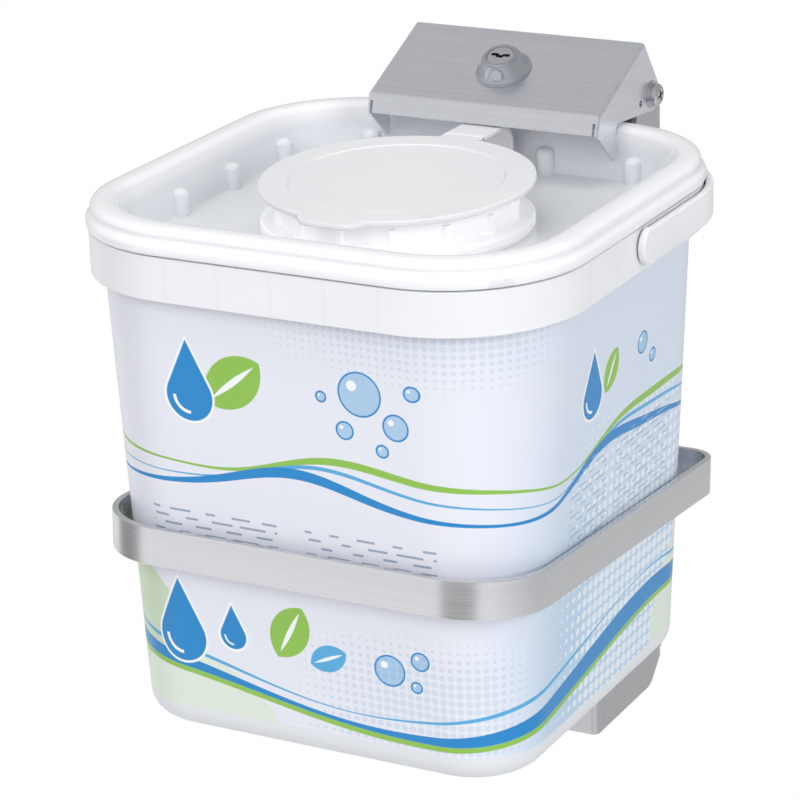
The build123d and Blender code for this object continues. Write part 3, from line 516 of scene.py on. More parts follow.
class Tree:
    """Node tree of one material or of the world."""

    def __init__(self, owner: Any) -> None:
        """Empties the owner's tree."""
        owner.use_nodes = True
        self.nodes, self.links = owner.node_tree.nodes, owner.node_tree.links
        self.nodes.clear()

    def node(self, kind: str, settings: dict[str, Any] | None = None,
             inputs: dict[Union[int, str], Any] | None = None, output: Union[int, str] = 0) -> Sock:
        """Makes any node.

        Args:
            kind: Its type, without the prefix.
            settings: Its properties; stops are a ramp's (place, colour) pairs.
            inputs: Values or links of its sockets.
            output: The output that is returned.

        Returns:
            That output.
        """
        made = self.nodes.new("ShaderNode" + kind)
        for key, value in (settings or {}).items():
            if key == "stops":
                ramp = made.color_ramp.elements
                while len(ramp) < len(value):
                    ramp.new(0.5)
                for stop, (place, colour) in zip(ramp, value):
                    stop.position, stop.color = place, colour
            else:
                setattr(made, key, value)
        for key, value in (inputs or {}).items():
            if isinstance(value, Sock):
                self.links.new(value.socket, made.inputs[key])
            else:
                made.inputs[key].default_value = value
        return Sock(self, made, output) if len(made.outputs) else Sock.__new__(Sock)

    def math(self, operation: str, first: Value, second: Value = 0.0) -> Sock:
        """A Math node on one or two numbers."""
        return self.node("Math", {"operation": operation}, {0: first, 1: second})

    def vector(self, operation: str, first: Any, second: Any, output: int = 0) -> Sock:
        """A Vector Math node on two vectors; output 1 is its number."""
        return self.node("VectorMath", {"operation": operation}, {0: first, 1: second}, output)

    def mix(self, share: Value, first: Any, second: Any) -> Sock:
        """A colour between two colours."""
        return self.node("Mix", {"data_type": "RGBA"}, {0: share, 6: first, 7: second}, 2)

    def step(self, value: Value, low: float, high: float) -> Sock:
        """0 below low, 1 above high and smooth between; low may be the higher one."""
        return self.node("MapRange", {"interpolation_type": "SMOOTHSTEP"},
                         {"Value": value, "From Min": low, "From Max": high})

    def spot(self) -> Sock:
        """The point's place in the object."""
        return self.node("TexCoord", output="Object")

    def split(self, vector: Sock) -> tuple[Sock, Sock, Sock]:
        """A vector's three numbers."""
        apart = self.node("SeparateXYZ", inputs={0: vector})
        return apart, apart.out(1), apart.out(2)

    def join(self, x: Value, y: Value, z: Value = 0.0) -> Sock:
        """A vector of three numbers."""
        return self.node("CombineXYZ", inputs={0: x, 1: y, 2: z})

    def length(self, vector: Sock) -> Sock:
        """A vector's length."""
        return self.vector("LENGTH", vector, NOWHERE, 1)

    def noise(self, place: Sock, scale: Union[float, Sequence[float]], detail: float = 2.0,
              rough: float = 0.5) -> Sock:
        """Noise from 0 to 1, stretched.

        Args:
            place: Where it is read.
            scale: Cells per metre along X, Y and Z, or one number for all three.
            detail: Its finer layers.
            rough: Their strength.

        Returns:
            The noise's number.
        """
        cells = (scale,) * 3 if isinstance(scale, float) else tuple(scale)
        stretched = self.vector("MULTIPLY", place, cells)
        return self.node("TexNoise", inputs={"Vector": stretched, "Scale": 1.0, "Detail": detail,
                                             "Roughness": rough})

    def bump(self, height: Sock, strength: float, depth: float) -> Sock:
        """A normal from a height of 0 to 1, depth metres deep."""
        return self.node("Bump", inputs={"Height": height, "Strength": strength, "Distance": depth})

    def surface(self, **inputs: Any) -> None:
        """Ends the material in a Principled shader.

        Args:
            inputs: Its sockets, with _ for a space.
        """
        shader = self.node("BsdfPrincipled",
                           inputs={key.replace("_", " "): value for key, value in inputs.items()})
        self.node("OutputMaterial", inputs={"Surface": shader})


def material(name: str) -> tuple[Any, Tree]:
    """A new material of that name, with its empty tree."""
    made = bpy.data.materials.new(name)
    return made, Tree(made)


class Grain(Enum):
    """Direction of a brushed grain, as noise cells per metre along X, Y and Z."""

    ACROSS = (26.0, 1700.0, 1700.0)
    LEVEL = (24.0, 24.0, 1900.0)
    UPRIGHT = (1700.0, 1700.0, 26.0)
    INWARD = (1700.0, 26.0, 1700.0)


@dataclass(frozen=True)
class BrushedSteel:
    """Stainless sheet with a brushed grain and faint handling marks."""

    name: str
    tone: Colour
    grain: Grain
    roughness: float = 0.3
    streaks: float = 0.16
    blotches: float = 0.05
    cheek: float = 0.0

    def brushed(self, tree: Tree, spot: Sock, part: float, detail: float, rough: float) -> Sock:
        """Noise drawn out along the grain.

        Args:
            tree: The material's tree.
            spot: The point's place.
            part: Share of the grain's cells.
            detail: Octaves of the noise.
            rough: Share of the finer ones.

        Returns:
            The noise, which runs in from the front on the sides past the cheek's place.
        """
        grain = tree.noise(spot, [cells * part for cells in self.grain.value], detail, rough)
        if not self.cheek:
            return grain
        side = tree.noise(spot, [cells * part for cells in Grain.INWARD.value], detail, rough)
        across = abs(tree.split(spot)[0])
        return grain + (side - grain) * tree.step(across, self.cheek - 0.0001, self.cheek)

    def make(self) -> Any:
        """Builds the material."""
        made, tree = material(self.name)
        spot = tree.spot()
        fine = self.brushed(tree, spot, 1.0, 3.0, 0.6)
        broad = self.brushed(tree, spot, 0.22, 2.0, 0.5)
        blotch = tree.noise(spot, 46.0, 4.0, 0.65)
        lines = (fine - 0.5) * self.streaks + (broad - 0.5) * self.streaks * 0.8
        shade = 1.0 + lines + (blotch - 0.5) * self.blotches
        colour = tree.vector("MULTIPLY", self.tone[:3], tree.join(shade, shade, shade))
        tree.surface(Base_Color=colour, Metallic=1.0,
                     Roughness=self.roughness + (fine - 0.5) * 0.14 + (blotch - 0.5) * 0.08,
                     Normal=tree.bump(fine, 0.25, 0.00006))
        return made


@dataclass(frozen=True)
class BrightMetal:
    """Smooth plated or turned metal."""

    name: str
    tone: Colour
    roughness: float

    def make(self) -> Any:
        """Builds the material."""
        made, tree = material(self.name)
        spot = tree.spot()
        fine = tree.noise(spot, 900.0, 2.0)
        broad = tree.noise(spot, 120.0, 2.0)
        colour = tree.mix(broad * 0.35, self.tone, tuple(c * 0.9 for c in self.tone[:3]) + (1.0,))
        tree.surface(Base_Color=colour, Metallic=1.0,
                     Roughness=self.roughness + (fine - 0.5) * 0.05 + (broad - 0.5) * 0.03,
                     Normal=tree.bump(fine, 0.06, 0.00002))
        return made


@dataclass(frozen=True)
class Moulding:
    """Moulded plastic with a fine texture, a little uneven in tone, and a painted glow where glow is given.
    """

    name: str
    tone: Colour
    deep: Colour
    roughness: float
    coat: float = 0.0
    grain: float = 0.12
    # Emission strength: painted light that brightens the piece though it is no lamp.
    glow: float = 0.0

    def tint(self, tree: Tree, spot: Sock) -> Any:
        """Colour over the piece.

        Args:
            tree: The material's tree.
            spot: The point's place.

        Returns:
            The colour's socket.
        """
        flow = tree.noise(spot, (22.0, 22.0, 60.0), 2.0)
        return tree.mix(tree.step(flow, 0.35, 0.75) * 0.35, self.tone, self.deep)

    def make(self) -> Any:
        """Builds the material."""
        made, tree = material(self.name)
        spot = tree.spot()
        fine = tree.noise(spot, 2600.0, 2.0)
        sink = tree.noise(spot, 70.0, 1.0)
        tree.surface(Base_Color=self.tint(tree, spot), IOR=1.49, Coat_Weight=self.coat,
                     Coat_Roughness=0.12, Roughness=self.roughness + (fine - 0.5) * 0.1,
                     # The emission is painted light where glow is given.
                     Emission_Color=WHITE, Emission_Strength=self.glow,
                     Normal=tree.bump(fine * self.grain + sink, 0.2, 0.0002))
        return made


@dataclass(frozen=True)
class LidPlastic(Moulding):
    """Milky lid: bright on its rim, with painted shade in its recess: a cooler, darker tone for the dimmer
    light there and its thin walls that let light through.
    """

    rim_height: float = 0.105

    def tint(self, tree: Tree, spot: Sock) -> Any:
        """Colour by height and by the distance in from the rim, with painted shade low in the recess."""
        x, y, z = tree.split(spot)
        inward = tree.math("MAXIMUM", abs(x), abs(y + WALL_TO_TUB * MM))
        low = tree.step(z, self.rim_height, self.rim_height - 0.006)
        inside = tree.step(inward, 0.0895, 0.0875)
        flow = tree.noise(spot, (18.0, 18.0, 90.0), 2.0)
        # Painted shade: below the rim and inside it, the recess is mixed towards the cooler, darker tone.
        return tree.mix(low * inside * (0.82 + flow * 0.3), self.tone, self.deep)


@dataclass(frozen=True)
class SkirtPlastic(Moulding):
    """Thin skirt with painted shade in faint lines where its hidden ribs dim the light through it."""

    rib_step: float = 22.0

    def tint(self, tree: Tree, spot: Sock) -> Any:
        """Colour with a faint painted shade line at each hidden rib."""
        x, y, z = tree.split(spot)
        across = tree.math("MINIMUM", abs(x), abs(y + WALL_TO_TUB * MM)) / (self.rib_step * MM)
        near = abs(tree.math("FRACT", across + 0.5) - 0.5)
        line = tree.step(near, 0.06, 0.02) * tree.step(across, 2.4, 2.3)
        flow = tree.noise(spot, (20.0, 20.0, 70.0), 2.0)
        # Painted shade: faint darker lines where the ribs behind the thin wall would block light; the flow
        # is an uneven tone.
        return tree.mix(line * 0.16 + flow * 0.2, self.tone, self.deep)


@dataclass(frozen=True)
class Fleece:
    """Layered non-woven wipes with a small embossed pattern."""

    name: str
    tone: Colour
    deep: Colour

    def make(self) -> Any:
        """Builds the material."""
        made, tree = material(self.name)
        spot = tree.spot()
        x, y, z = tree.split(spot)
        out = tree.length(tree.join(x, y + WALL_TO_TUB * MM))
        layers = tree.math("SINE", out * 9000.0)
        fibre = tree.noise(spot, (1500.0, 1500.0, 700.0), 4.0, 0.7)
        cells = tree.node("TexVoronoi", inputs={"Vector": spot, "Scale": 420.0})
        shade = tree.mix(fibre * 0.7, self.tone, self.deep)
        tree.surface(Base_Color=shade, Roughness=0.85 + (fibre - 0.5) * 0.1,
                     Normal=tree.bump(fibre + layers * 0.3 + cells * 0.6, 0.5, 0.0004))
        return made


class Sleeve:
    """The sleeve being printed: places on it in millimetres, and its colour so far."""

    # Half widths of the blur at a motif's edge, and at a wave's or the sleeve's, in millimetres.
    MOTIF_BLUR = 0.12
    WAVE_BLUR = 0.15

    def __init__(self, tree: Tree, at: Sock, ground: Colour) -> None:
        """Starts with a plain ground, and the place on the sleeve as a vector."""
        self.tree, self.at = tree, at
        self.u, self.v, _ = tree.split(at)
        self.colour: Any = ground

    def lay(self, mask: Value, tone: Colour) -> None:
        """Prints a tone where the mask is 1."""
        self.colour = self.tree.mix(mask, self.colour, tone)

    def below(self, value: Sock, edge: float, soft: float = MOTIF_BLUR) -> Sock:
        """1 where a value is less than the edge."""
        return self.tree.step(value, edge + soft, edge - soft)

    def fade(self, *steps: tuple[Sock, float, float]) -> Sock:
        """Product of smooth steps, each a value and where it is 0 and 1."""
        share, *others = [self.tree.step(*step) for step in steps]
        for other in others:
            share = share * other
        return share

    def wave(self, base: float, swell: float, turns: int, start: float, ripple: float) -> Sock:
        """Height of a wave that closes on itself round the tub.

        Args:
            base: The wave's middle height.
            swell: Its height above that.
            turns: How many waves there are round the tub.
            start: Where it starts, in radians.
            ripple: Height of a second, quicker wave.

        Returns:
            The height's socket.
        """
        run = 2 * math.pi / (4 * QUARTER)
        height = self.tree.math("SINE", self.u * (run * turns) + start) * swell + base
        return height + self.tree.math("SINE", self.u * (run * (2 * turns + 1)) + start) * ripple

    def away(self, x: float, y: float) -> Sock:
        """Distance from a point of the sleeve."""
        return self.tree.vector("DISTANCE", self.at, (x, y, 0.0), 1)

    def disc(self, x: float, y: float, radius: float) -> Sock:
        """1 inside a circle."""
        return self.below(self.away(x, y), radius)

    def hoop(self, x: float, y: float, radius: float, wide: float) -> Sock:
        """1 on a circle's line."""
        return self.below(abs(self.away(x, y) - radius), wide / 2)

    def drop(self, x: float, y: float, radius: float, tall: float) -> Sock:
        """1 inside a water drop.

        Args:
            x, y: Centre of the drop's round end.
            radius: Radius of that end.
            tall: Height of the tip above it.

        Returns:
            The mask.
        """
        sine = radius / tall
        side = abs(self.u - x) * math.sqrt(1 - sine * sine) + (self.v - y) * sine
        cone = self.below(side, radius) * (self.v > y + radius * sine)
        return self.tree.math("MAXIMUM", self.disc(x, y, radius), cone)

    def leaf(self, x: float, y: float, lean: float, long: float, radius: float) -> Sock:
        """1 inside a leaf, the overlap of two circles.

        Args:
            x, y: The leaf's middle.
            lean: Its direction in degrees.
            long: Half its length.
            radius: Radius of its sides.

        Returns:
            The mask.
        """
        off = math.sqrt(radius * radius - long * long)
        dx, dy = -math.sin(math.radians(lean)) * off, math.cos(math.radians(lean)) * off
        return self.disc(x + dx, y + dy, radius) * self.disc(x - dx, y - dy, radius)

    def dots(self, pitch: float, size: Sock) -> Sock:
        """1 inside the dots of a halftone.

        Args:
            pitch: From one dot to the next, in millimetres.
            size: Radius of a dot as a share of the pitch.

        Returns:
            The mask.
        """
        cell = self.tree.vector("MULTIPLY", self.at, (1 / pitch, 1 / pitch, 0.0))
        nearest = self.tree.node("TexVoronoi", {"voronoi_dimensions": "2D"},
                                 {"Vector": cell, "Scale": 1.0, "Randomness": 0.0})
        return nearest < size

    def dashes(self, area: Sequence[float], pitch: float) -> Sock:
        """1 inside rows of short round-ended strokes.

        Args:
            area: Its left, right, low and high edges.
            pitch: From one row to the next.

        Returns:
            The mask.
        """
        tree, (left, right, low, high) = self.tree, area
        run = 4.4 * pitch
        rows = tree.math("FLOOR", self.v / pitch)
        shifted = self.u + rows * (run * 0.37)
        column = tree.math("FLOOR", shifted / run)
        chance = tree.node("TexWhiteNoise", {"noise_dimensions": "2D"}, {"Vector": tree.join(column, rows)})
        across = abs(tree.math("FRACT", shifted / run) - 0.5) * run
        up = abs(tree.math("FRACT", self.v / pitch) - 0.5) * pitch
        over = tree.math("MAXIMUM", across - (chance * 0.3 + 0.1) * run, 0.0)
        reach = tree.length(tree.join(over, up))
        inside = (self.u > left) * (self.u < right) * (self.v > low) * (self.v < high)
        return tree.step(reach, pitch * 0.19, pitch * 0.12) * inside


@dataclass(frozen=True)
class PrintedTub:
    """Tub wall with a printed sleeve of waves, drops and bubbles."""

    name: str
    low: float = -169.0
    ground: Colour = paint(231, 233, 243)
    plain: Colour = paint(226, 229, 234)
    sky: Colour = paint(176, 208, 236)
    blue: Colour = paint(0, 133, 202)
    light: Colour = paint(80, 170, 222)
    green: Colour = paint(141, 192, 74)
    pale: Colour = paint(202, 220, 192)
    dew: Colour = paint(222, 233, 220)
    mist: Colour = paint(196, 212, 232)
    ink: Colour = paint(112, 138, 172)
    faint: Colour = paint(150, 178, 210)
    white: Colour = paint(246, 248, 252)

    def scenery(self, on: Sleeve) -> None:
        """Prints the design's ground: pale shades, halftones and the waves.

        Args:
            on: The sleeve.
        """
        tree, u, v = on.tree, on.u, on.v
        side = on.fade((u, 62.0, 128.0), (u, 330.0, 240.0))
        left, low = tree.step(u, -84.0, -150.0), tree.step(v, -30.0, -150.0)
        on.lay(tree.math("MAXIMUM", side, left) * (0.3 + low * 0.6), self.sky)
        halo = on.fade((v, -20.0, -118.0), (u, 96.0, 150.0), (u, 330.0, 250.0))
        on.lay(on.dots(5.0, halo * 0.44) * 0.7, self.white)
        crown = on.fade((v, -36.0, -2.0), (u, -50.0, 60.0), (u, 120.0, 80.0))
        on.lay(on.dots(3.0, crown * 0.4) * 0.55, self.mist)
        floor = on.fade((v, -112.0, -140.0), (u, -30.0, 40.0), (u, 116.0, 70.0))
        on.lay(on.dots(3.4, floor * 0.4) * 0.6, self.mist)
        for x, y, radius, tone in ((-100.0, -158.0, 56.0, self.pale), (-52.0, -190.0, 44.0, self.dew),
                                   (250.0, -168.0, 50.0, self.dew)):
            on.lay(on.disc(x, y, radius) * (v < -100.0), tone)
        for base, swell, turns, start, wide, tone in (
                (-61.0, 5.0, 4, 0.4, 1.5, self.green), (-65.5, 5.5, 4, 0.9, 0.8, self.light),
                (-70.0, 6.0, 4, 1.5, 2.1, self.blue), (-146.0, 11.0, 2, -2.2, 0.9, self.light)):
            line = abs(v - on.wave(base, swell, turns, start, 1.2))
            width = (tree.math("SINE", u * (2 * math.pi / QUARTER) + start) * 0.35 + 0.65) * wide
            on.lay(on.below(line - width, 0.0, on.WAVE_BLUR), tone)
        crest = v - on.wave(-151.0, 11.0, 2, -2.35, 0.6)
        trough = v - on.wave(-156.5, 8.5, 2, -2.6, 0.4)
        blur = on.WAVE_BLUR
        on.lay(on.fade((crest, blur, -blur), (trough, -blur, blur)), self.blue)
        on.lay(on.fade((trough, blur, -blur), (trough, -2.3, -2.0)), self.green)

    def art(self, on: Sleeve) -> None:
        """Prints the rows of dashes, the bubbles, the leaves and the drops.

        Args:
            on: The sleeve.
        """
        for area, pitch, tone in (((-62.0, -8.0, -104.5, -83.5), 3.0, self.ink),
                                  ((4.0, 58.0, -104.5, -83.5), 3.0, self.ink),
                                  ((118.0, 150.0, -98.0, -66.0), 2.6, self.faint),
                                  ((158.0, 208.0, -98.0, -66.0), 2.6, self.faint)):
            on.lay(on.dashes(area, pitch) * 0.75, tone)
        for x, y, size in ((31, -27, 8.5), (45, -38, 5.0), (24, -42, 3.4), (39, -48, 2.4),
                           (52, -24, 2.8), (15, -30, 2.0), (36, -137, 6.2), (49, -131, 3.6),
                           (47, -142, 2.2), (178, -34, 4.2), (188, -42, 2.6)):
            on.lay(on.disc(x, y, size) * 0.55, self.light)
            on.lay(on.hoop(x, y, size, 0.7), self.blue)
            on.lay(on.disc(x - size * 0.36, y + size * 0.36, size * 0.24), self.white)
        for x, y, lean, long, tone in ((-22.0, -30.0, 38.0, 15.0, self.green),
                                       (-6.0, -129.0, 62.0, 12.5, self.green),
                                       (10.0, -137.0, 24.0, 8.5, self.light),
                                       (150.0, -36.0, 58.0, 9.0, self.green)):
            on.lay(on.leaf(x, y, lean, long, long * 1.1), tone)
            on.lay(on.leaf(x, y, lean, long * 0.8, long * 4), self.white)
        for x, y, size in ((-41.0, -38.0, 9.8), (-54.0, -139.0, 10.6), (-31.0, -135.0, 5.6),
                           (134.0, -42.0, 8.0)):
            tall = size * 2.3
            on.lay(on.drop(x, y, size + 1, tall + 2), self.white)
            on.lay(on.drop(x, y, size, tall), self.blue)
            on.lay(on.hoop(x, y, size * 0.66, size * 0.13) * (on.u < x) * (on.v < y), self.white)

    def make(self) -> Any:
        """Builds the material."""
        made, tree = material(self.name)
        spot = tree.spot()
        print_at = tree.node("UVMap", {"uv_map": "print"})
        from_start = tree.vector("MULTIPLY", print_at, MAP_SIZE + (0.0,))
        on = Sleeve(tree, tree.vector("SUBTRACT", from_start, MAP_START + (0.0,)), self.ground)
        on_sleeve = on.fade((on.v, self.low - on.WAVE_BLUR, self.low + on.WAVE_BLUR), (on.v, -1.0, -1.3))
        self.scenery(on)
        self.art(on)
        colour = tree.mix(on_sleeve, self.plain, on.colour)
        fine = tree.noise(spot, 1800.0, 2.0)
        slack = tree.noise(spot, (34.0, 34.0, 16.0), 1.0)
        tree.surface(Base_Color=colour, IOR=1.48, Coat_Weight=on_sleeve * 0.25,
                     Coat_Roughness=0.25, Roughness=0.42 - on_sleeve * 0.06 + (fine - 0.5) * 0.08,
                     Normal=tree.bump(slack + fine * 0.05 + on_sleeve * 0.15, 0.25, 0.0004))
        return made


class Wardrobe:
    """All the finishes, made once."""

    def __init__(self) -> None:
        """Makes every material."""
        steel = paint(196, 197, 200)
        white = paint(238, 240, 243)
        self.sheet = BrushedSteel("bracket_sheet", steel, Grain.UPRIGHT).make()
        self.band = BrushedSteel("ring_band", paint(220, 221, 224), Grain.LEVEL, 0.26).make()
        self.hood = BrushedSteel("hood_sheet", paint(229, 232, 238), Grain.ACROSS, 0.28,
                                 cheek=0.0496).make()
        self.chrome = BrightMetal("lock_chrome", paint(214, 216, 220), 0.09).make()
        # The housing is the plug's chrome in a darker tone: a painted reflection of the dark surroundings
        # it mirrors.
        self.housing = BrightMetal("housing_chrome_painted_dark", paint(192, 196, 203), 0.05).make()
        self.screw = BrightMetal("screw_metal", paint(206, 207, 210), 0.2).make()
        self.cam = BrightMetal("cam_steel", paint(170, 170, 172), 0.34).make()
        self.spacer = Moulding("spacer_nylon", paint(208, 208, 204), paint(190, 190, 186), 0.5).make()
        self.sleeve = PrintedTub("printed_sleeve").make()
        # The skirt's second tone serves an uneven tone and painted shade along its hidden ribs.
        self.skirt = SkirtPlastic("skirt_plastic", white, paint(216, 221, 228), 0.34, 0.2).make()
        self.handle = Moulding("handle_plastic", white, paint(220, 224, 230), 0.36, 0.15).make()
        # The lid's second tone is painted shade in its recess.
        self.lid = LidPlastic("lid_plastic", paint(243, 244, 247), paint(229, 232, 236), 0.22, 0.5).make()
        self.closure = Moulding("closure_plastic", paint(232, 233, 235), paint(220, 222, 226), 0.42,
                                0.1, 0.2).make()
        # The collar is a brighter copy of the closure's white with a small glow: painted light that
        # brightens it.
        self.collar = Moulding("collar_plastic", paint(250, 250, 251), paint(240, 241, 243), 0.42,
                               0.1, 0.2, 0.12).make()
        self.gate = Moulding("gate_plastic", paint(222, 224, 228), paint(206, 209, 214), 0.5).make()
        self.fleece = Fleece("wipes_fleece", paint(240, 241, 240), paint(214, 216, 216)).make()

    def dress(self, finish: Any, *pieces: Any) -> None:
        """Gives pieces, or CAD nodes by name, a finish in their material slots."""
        for piece in pieces:
            obj = frame["nodes"][piece] if isinstance(piece, str) else piece
            if not obj.material_slots:
                obj.data.materials.append(finish)
            for place in obj.material_slots:
                place.material = finish


@dataclass
class SubAssembly:
    """A group of pieces that are made and dressed together."""

    finishes: Wardrobe

    def hand_over(self, piece: Any, finish: Any, body: str, slot: str, *nodes: str) -> Any:
        """Dresses a piece and says what it rides on and stands for.

        Args:
            piece: The finished object.
            finish: Its material.
            body: The CAD body that it moves with.
            slot: The record's material slot; not used.
            nodes: CAD nodes that it stands for.

        Returns:
            The piece.
        """
        self.finishes.dress(finish, piece)
        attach(piece, body)
        if nodes:
            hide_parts(*nodes)
        LOG.info("%s: %d faces", piece.name, len(piece.data.polygons))
        return piece


@dataclass
class TubAssembly(SubAssembly):
    """Tapering tub with its printed sleeve, the hanging skirt, the bail handle and the wipes."""

    depth: float = 180.0
    top_half: float = 94.3
    foot_half: float = 83.6
    top_corner: float = 45.0
    foot_corner: float = 28.0
    wall: float = 1.8
    foot_round: float = 9.0
    skirt_half: float = 100.0
    skirt_corner: float = 52.0
    skirt_tall: float = 17.0
    skirt_wall: float = 1.6
    upstand_tall: float = 7.0
    upstand_in: float = 4.5
    rib_step: float = 22.0
    rib_half: float = 0.8
    rib_low: float = 4.3
    bail_gap: float = 0.7
    bail_thick: float = 3.0
    bail_low: float = 3.5
    bail_high: float = 16.5
    bail_axis: tuple[float, float] = (2.0, 10.0)
    bail_end: float = 7.0
    bail_pin: float = 3.0
    bail_round: float = 0.8
    bail_pin_in: float = 1.6
    roll_radius: float = 74.0
    roll_core: float = 22.0
    roll_tall: float = 140.0

    def half(self, z: float) -> float:
        """Half width of the body at height z."""
        return self.top_half + (self.top_half - self.foot_half) * z / self.depth

    def corner(self, z: float) -> float:
        """Corner radius of the body at height z."""
        return self.top_corner + (self.top_corner - self.foot_corner) * z / self.depth

    def body(self) -> Any:
        """The tapering body with its rounded foot and inner wall."""
        bench = Bench("tub_body")
        rings = [(z, 0.0) for z in (15.6, 0.0, -24.0, -48.0, -72.0, -96.0, -120.0, -144.0, -160.0)]
        rings.append((-self.depth + self.foot_round, 0.0))
        for step in range(1, 7):
            bend = math.radians(15 * step)
            rings.append((-self.depth + self.foot_round * (1 - math.sin(bend)),
                          self.foot_round * (1 - math.cos(bend))))
        rings += [(-self.depth, 12.0), (-self.depth + 1.0, 13.0), (-self.depth + 1.0, 30.0)]
        loops = [bench.loop((self.half(z) - inset,) * 2, max(self.corner(z) - inset, 6.0), z)
                 for z, inset in rings]
        bench.chain(loops)
        bench.fill(loops[-1])
        bench.clean()
        bench.modify("SOLIDIFY", thickness=self.wall, offset=-1.0)
        piece = bench.done(at_tub())
        self.wrap(piece)
        return piece

    def wrap(self, piece: Any) -> None:
        """Lays the sleeve's map round the body: millimetres along each face from the front's middle.

        Args:
            piece: The body, placed.
        """
        sleeve = piece.data.uv_layers.new(name="print")
        for face in piece.data.polygons:
            middle = face.center / MM
            high = middle.z - SKIRT_UP
            flat = self.half(high) - self.corner(high) - 1
            behind = middle.y + WALL_TO_TUB > 0 and abs(middle.x) < flat
            for index in face.loop_indices:
                spot = piece.data.vertices[piece.data.loops[index].vertex_index].co / MM
                x, y, z = spot.x, spot.y + WALL_TO_TUB, spot.z - SKIRT_UP
                across = (self.round_tub(x, y, z, behind) + MAP_START[0]) / MAP_SIZE[0]
                sleeve.data[index].uv = (across, (z + MAP_START[1]) / MAP_SIZE[1])

    def round_tub(self, x: float, y: float, z: float, behind: bool) -> float:
        """Place round the tub of a point on it.

        Args:
            x, y, z: The point, in millimetres.
            behind: Whether it is on the flat back, which is counted on from the right side.

        Returns:
            Its distance from the front's middle, with the same length for every quarter turn.
        """
        if behind:
            return 2 * QUARTER - x
        flat = self.half(z) - self.corner(z)
        side, across = (1 if x >= 0 else -1), abs(x)
        if across <= flat + 0.01 and y < 0:
            return x
        if abs(y) <= flat + 0.01:
            return side * (QUARTER + y)
        bend = math.degrees(math.atan2(across - flat, abs(y) - flat)) / 90
        run = flat + (QUARTER - 2 * flat) * min(max(bend, 0.0), 1.0)
        return side * (run if y < 0 else 2 * QUARTER - run)

    def skirt(self) -> Any:
        """The skirt that hangs from the tub's mouth, its ribs and the upstand."""
        bench = Bench("tub_skirt")
        tall, wall, up = self.skirt_tall, self.skirt_wall, self.upstand_in
        top = tall + self.upstand_tall
        profile = [(0.35, 0.0), (0.05, 0.25), (0.0, 0.7), (0.0, tall - 0.7), (0.2, tall - 0.2),
                   (0.7, tall), (up - 0.3, tall), (up, tall + 0.3), (up, top - 0.4), (up + 0.4, top),
                   (up + 1.4, top), (up + 1.8, top - 0.4), (up + 1.8, tall - wall), (wall, tall - wall),
                   (wall, 0.5), (wall - 0.4, 0.0)]
        bench.chain(bench.squares(self.skirt_half, self.skirt_corner, profile), closed=True)
        for turned in range(4):
            for index in range(-2, 3):
                if index == 0 and turned in (1, 3):
                    continue
                place = index * self.rib_step
                low = (place - self.rib_half, self.top_half - 0.9, self.rib_low)
                high = (place + self.rib_half, self.skirt_half - 0.8, tall - wall + 0.2)
                bench.block(low, high, 0.3, 1)
                if turned:
                    bpy.ops.mesh.select_linked()
                    bench.spin(90 * turned)
        return bench.done(at_tub())

    def bail(self) -> Any:
        """The strap handle round the skirt's back, with round ends and their pins."""
        bench = Bench("bail_strap")
        inner = self.skirt_half + self.bail_gap
        outer = inner + self.bail_thick
        y, z = self.bail_axis
        bench.loop((outer,) * 2, self.skirt_corner + self.bail_gap + self.bail_thick, self.bail_low)
        bench.pick(Pick.EDGES, lambda edge: True)
        bpy.ops.mesh.extrude_edges_move(
            TRANSFORM_OT_translate={"value": (0, 0, self.bail_high - self.bail_low)})
        bpy.ops.mesh.select_all(action="SELECT")
        bpy.ops.mesh.normals_make_consistent(inside=False)
        bpy.ops.mesh.bisect(plane_co=(0, y, 0), plane_no=(0, -1, 0), clear_outer=True)
        bench.modify("SOLIDIFY", thickness=self.bail_thick, offset=-1.0, use_even_offset=True)
        bench.modify("BEVEL", width=self.bail_round, segments=3, limit_method="ANGLE",
                     angle_limit=math.radians(50))
        bench.mode("EDIT")
        for side in (-1, 1):
            for radius, near, far in ((self.bail_end, inner, outer),
                                      (self.bail_pin, self.skirt_half - self.bail_pin_in, inner)):
                bench.tag()
                bench.rod(radius, (side * (near + far) / 2, y, z), far - near)
                if radius == self.bail_end:
                    bench.cut((0, y, 0), (0, 1, 0))
        return bench.done(at_tub())

    def wipes(self) -> Any:
        """The roll, its top face laid in rings of sheet, with soft edges."""
        bench = Bench("wipes_layers")
        low = -self.depth + self.wall
        top = low + self.roll_tall
        profile = [(self.roll_core + 0.6, low), (self.roll_radius - 1.2, low),
                   (self.roll_radius - 0.2, low + 1.4)]
        for step in range(1, 14):
            swell = 0.35 * math.sin(step * 1.9) - 0.45
            profile.append((self.roll_radius + swell, low + step * self.roll_tall / 14))
        profile += [(self.roll_radius - 0.4, top - 2.2), (self.roll_radius - 1.8, top - 0.5)]
        rings = 24
        for step in range(rings):
            radius = self.roll_radius - 2.6 - step * (self.roll_radius - self.roll_core - 4) / rings
            rise = top - 0.5 - 0.5 * abs(math.sin(step * 2.3))
            profile += [(radius, rise - 0.35), (radius - 0.7, rise)]
        profile += [(self.roll_core + 1.0, top - 0.6), (self.roll_core, top - 1.6),
                    (self.roll_core, low + 1.0)]
        bench.turn(profile, vertices=72, caps=False)
        return bench.done(at_tub(), angle=60)

    def build(self) -> None:
        """Makes and dresses the tub's pieces."""
        body = self.hand_over(self.body(), self.finishes.sleeve, "bracket", "tub_plastic", "tub")
        self.hand_over(self.skirt(), self.finishes.skirt, "bracket", "tub_plastic", "tub")
        self.hand_over(self.bail(), self.finishes.handle, "handle", "tub_plastic", "bail_handle")
        roll = self.hand_over(self.wipes(), self.finishes.fleece, "bracket", "wipes", "wipes_roll")
        LOG.info("tub of %s and its roll of %s", body.name, roll.name)


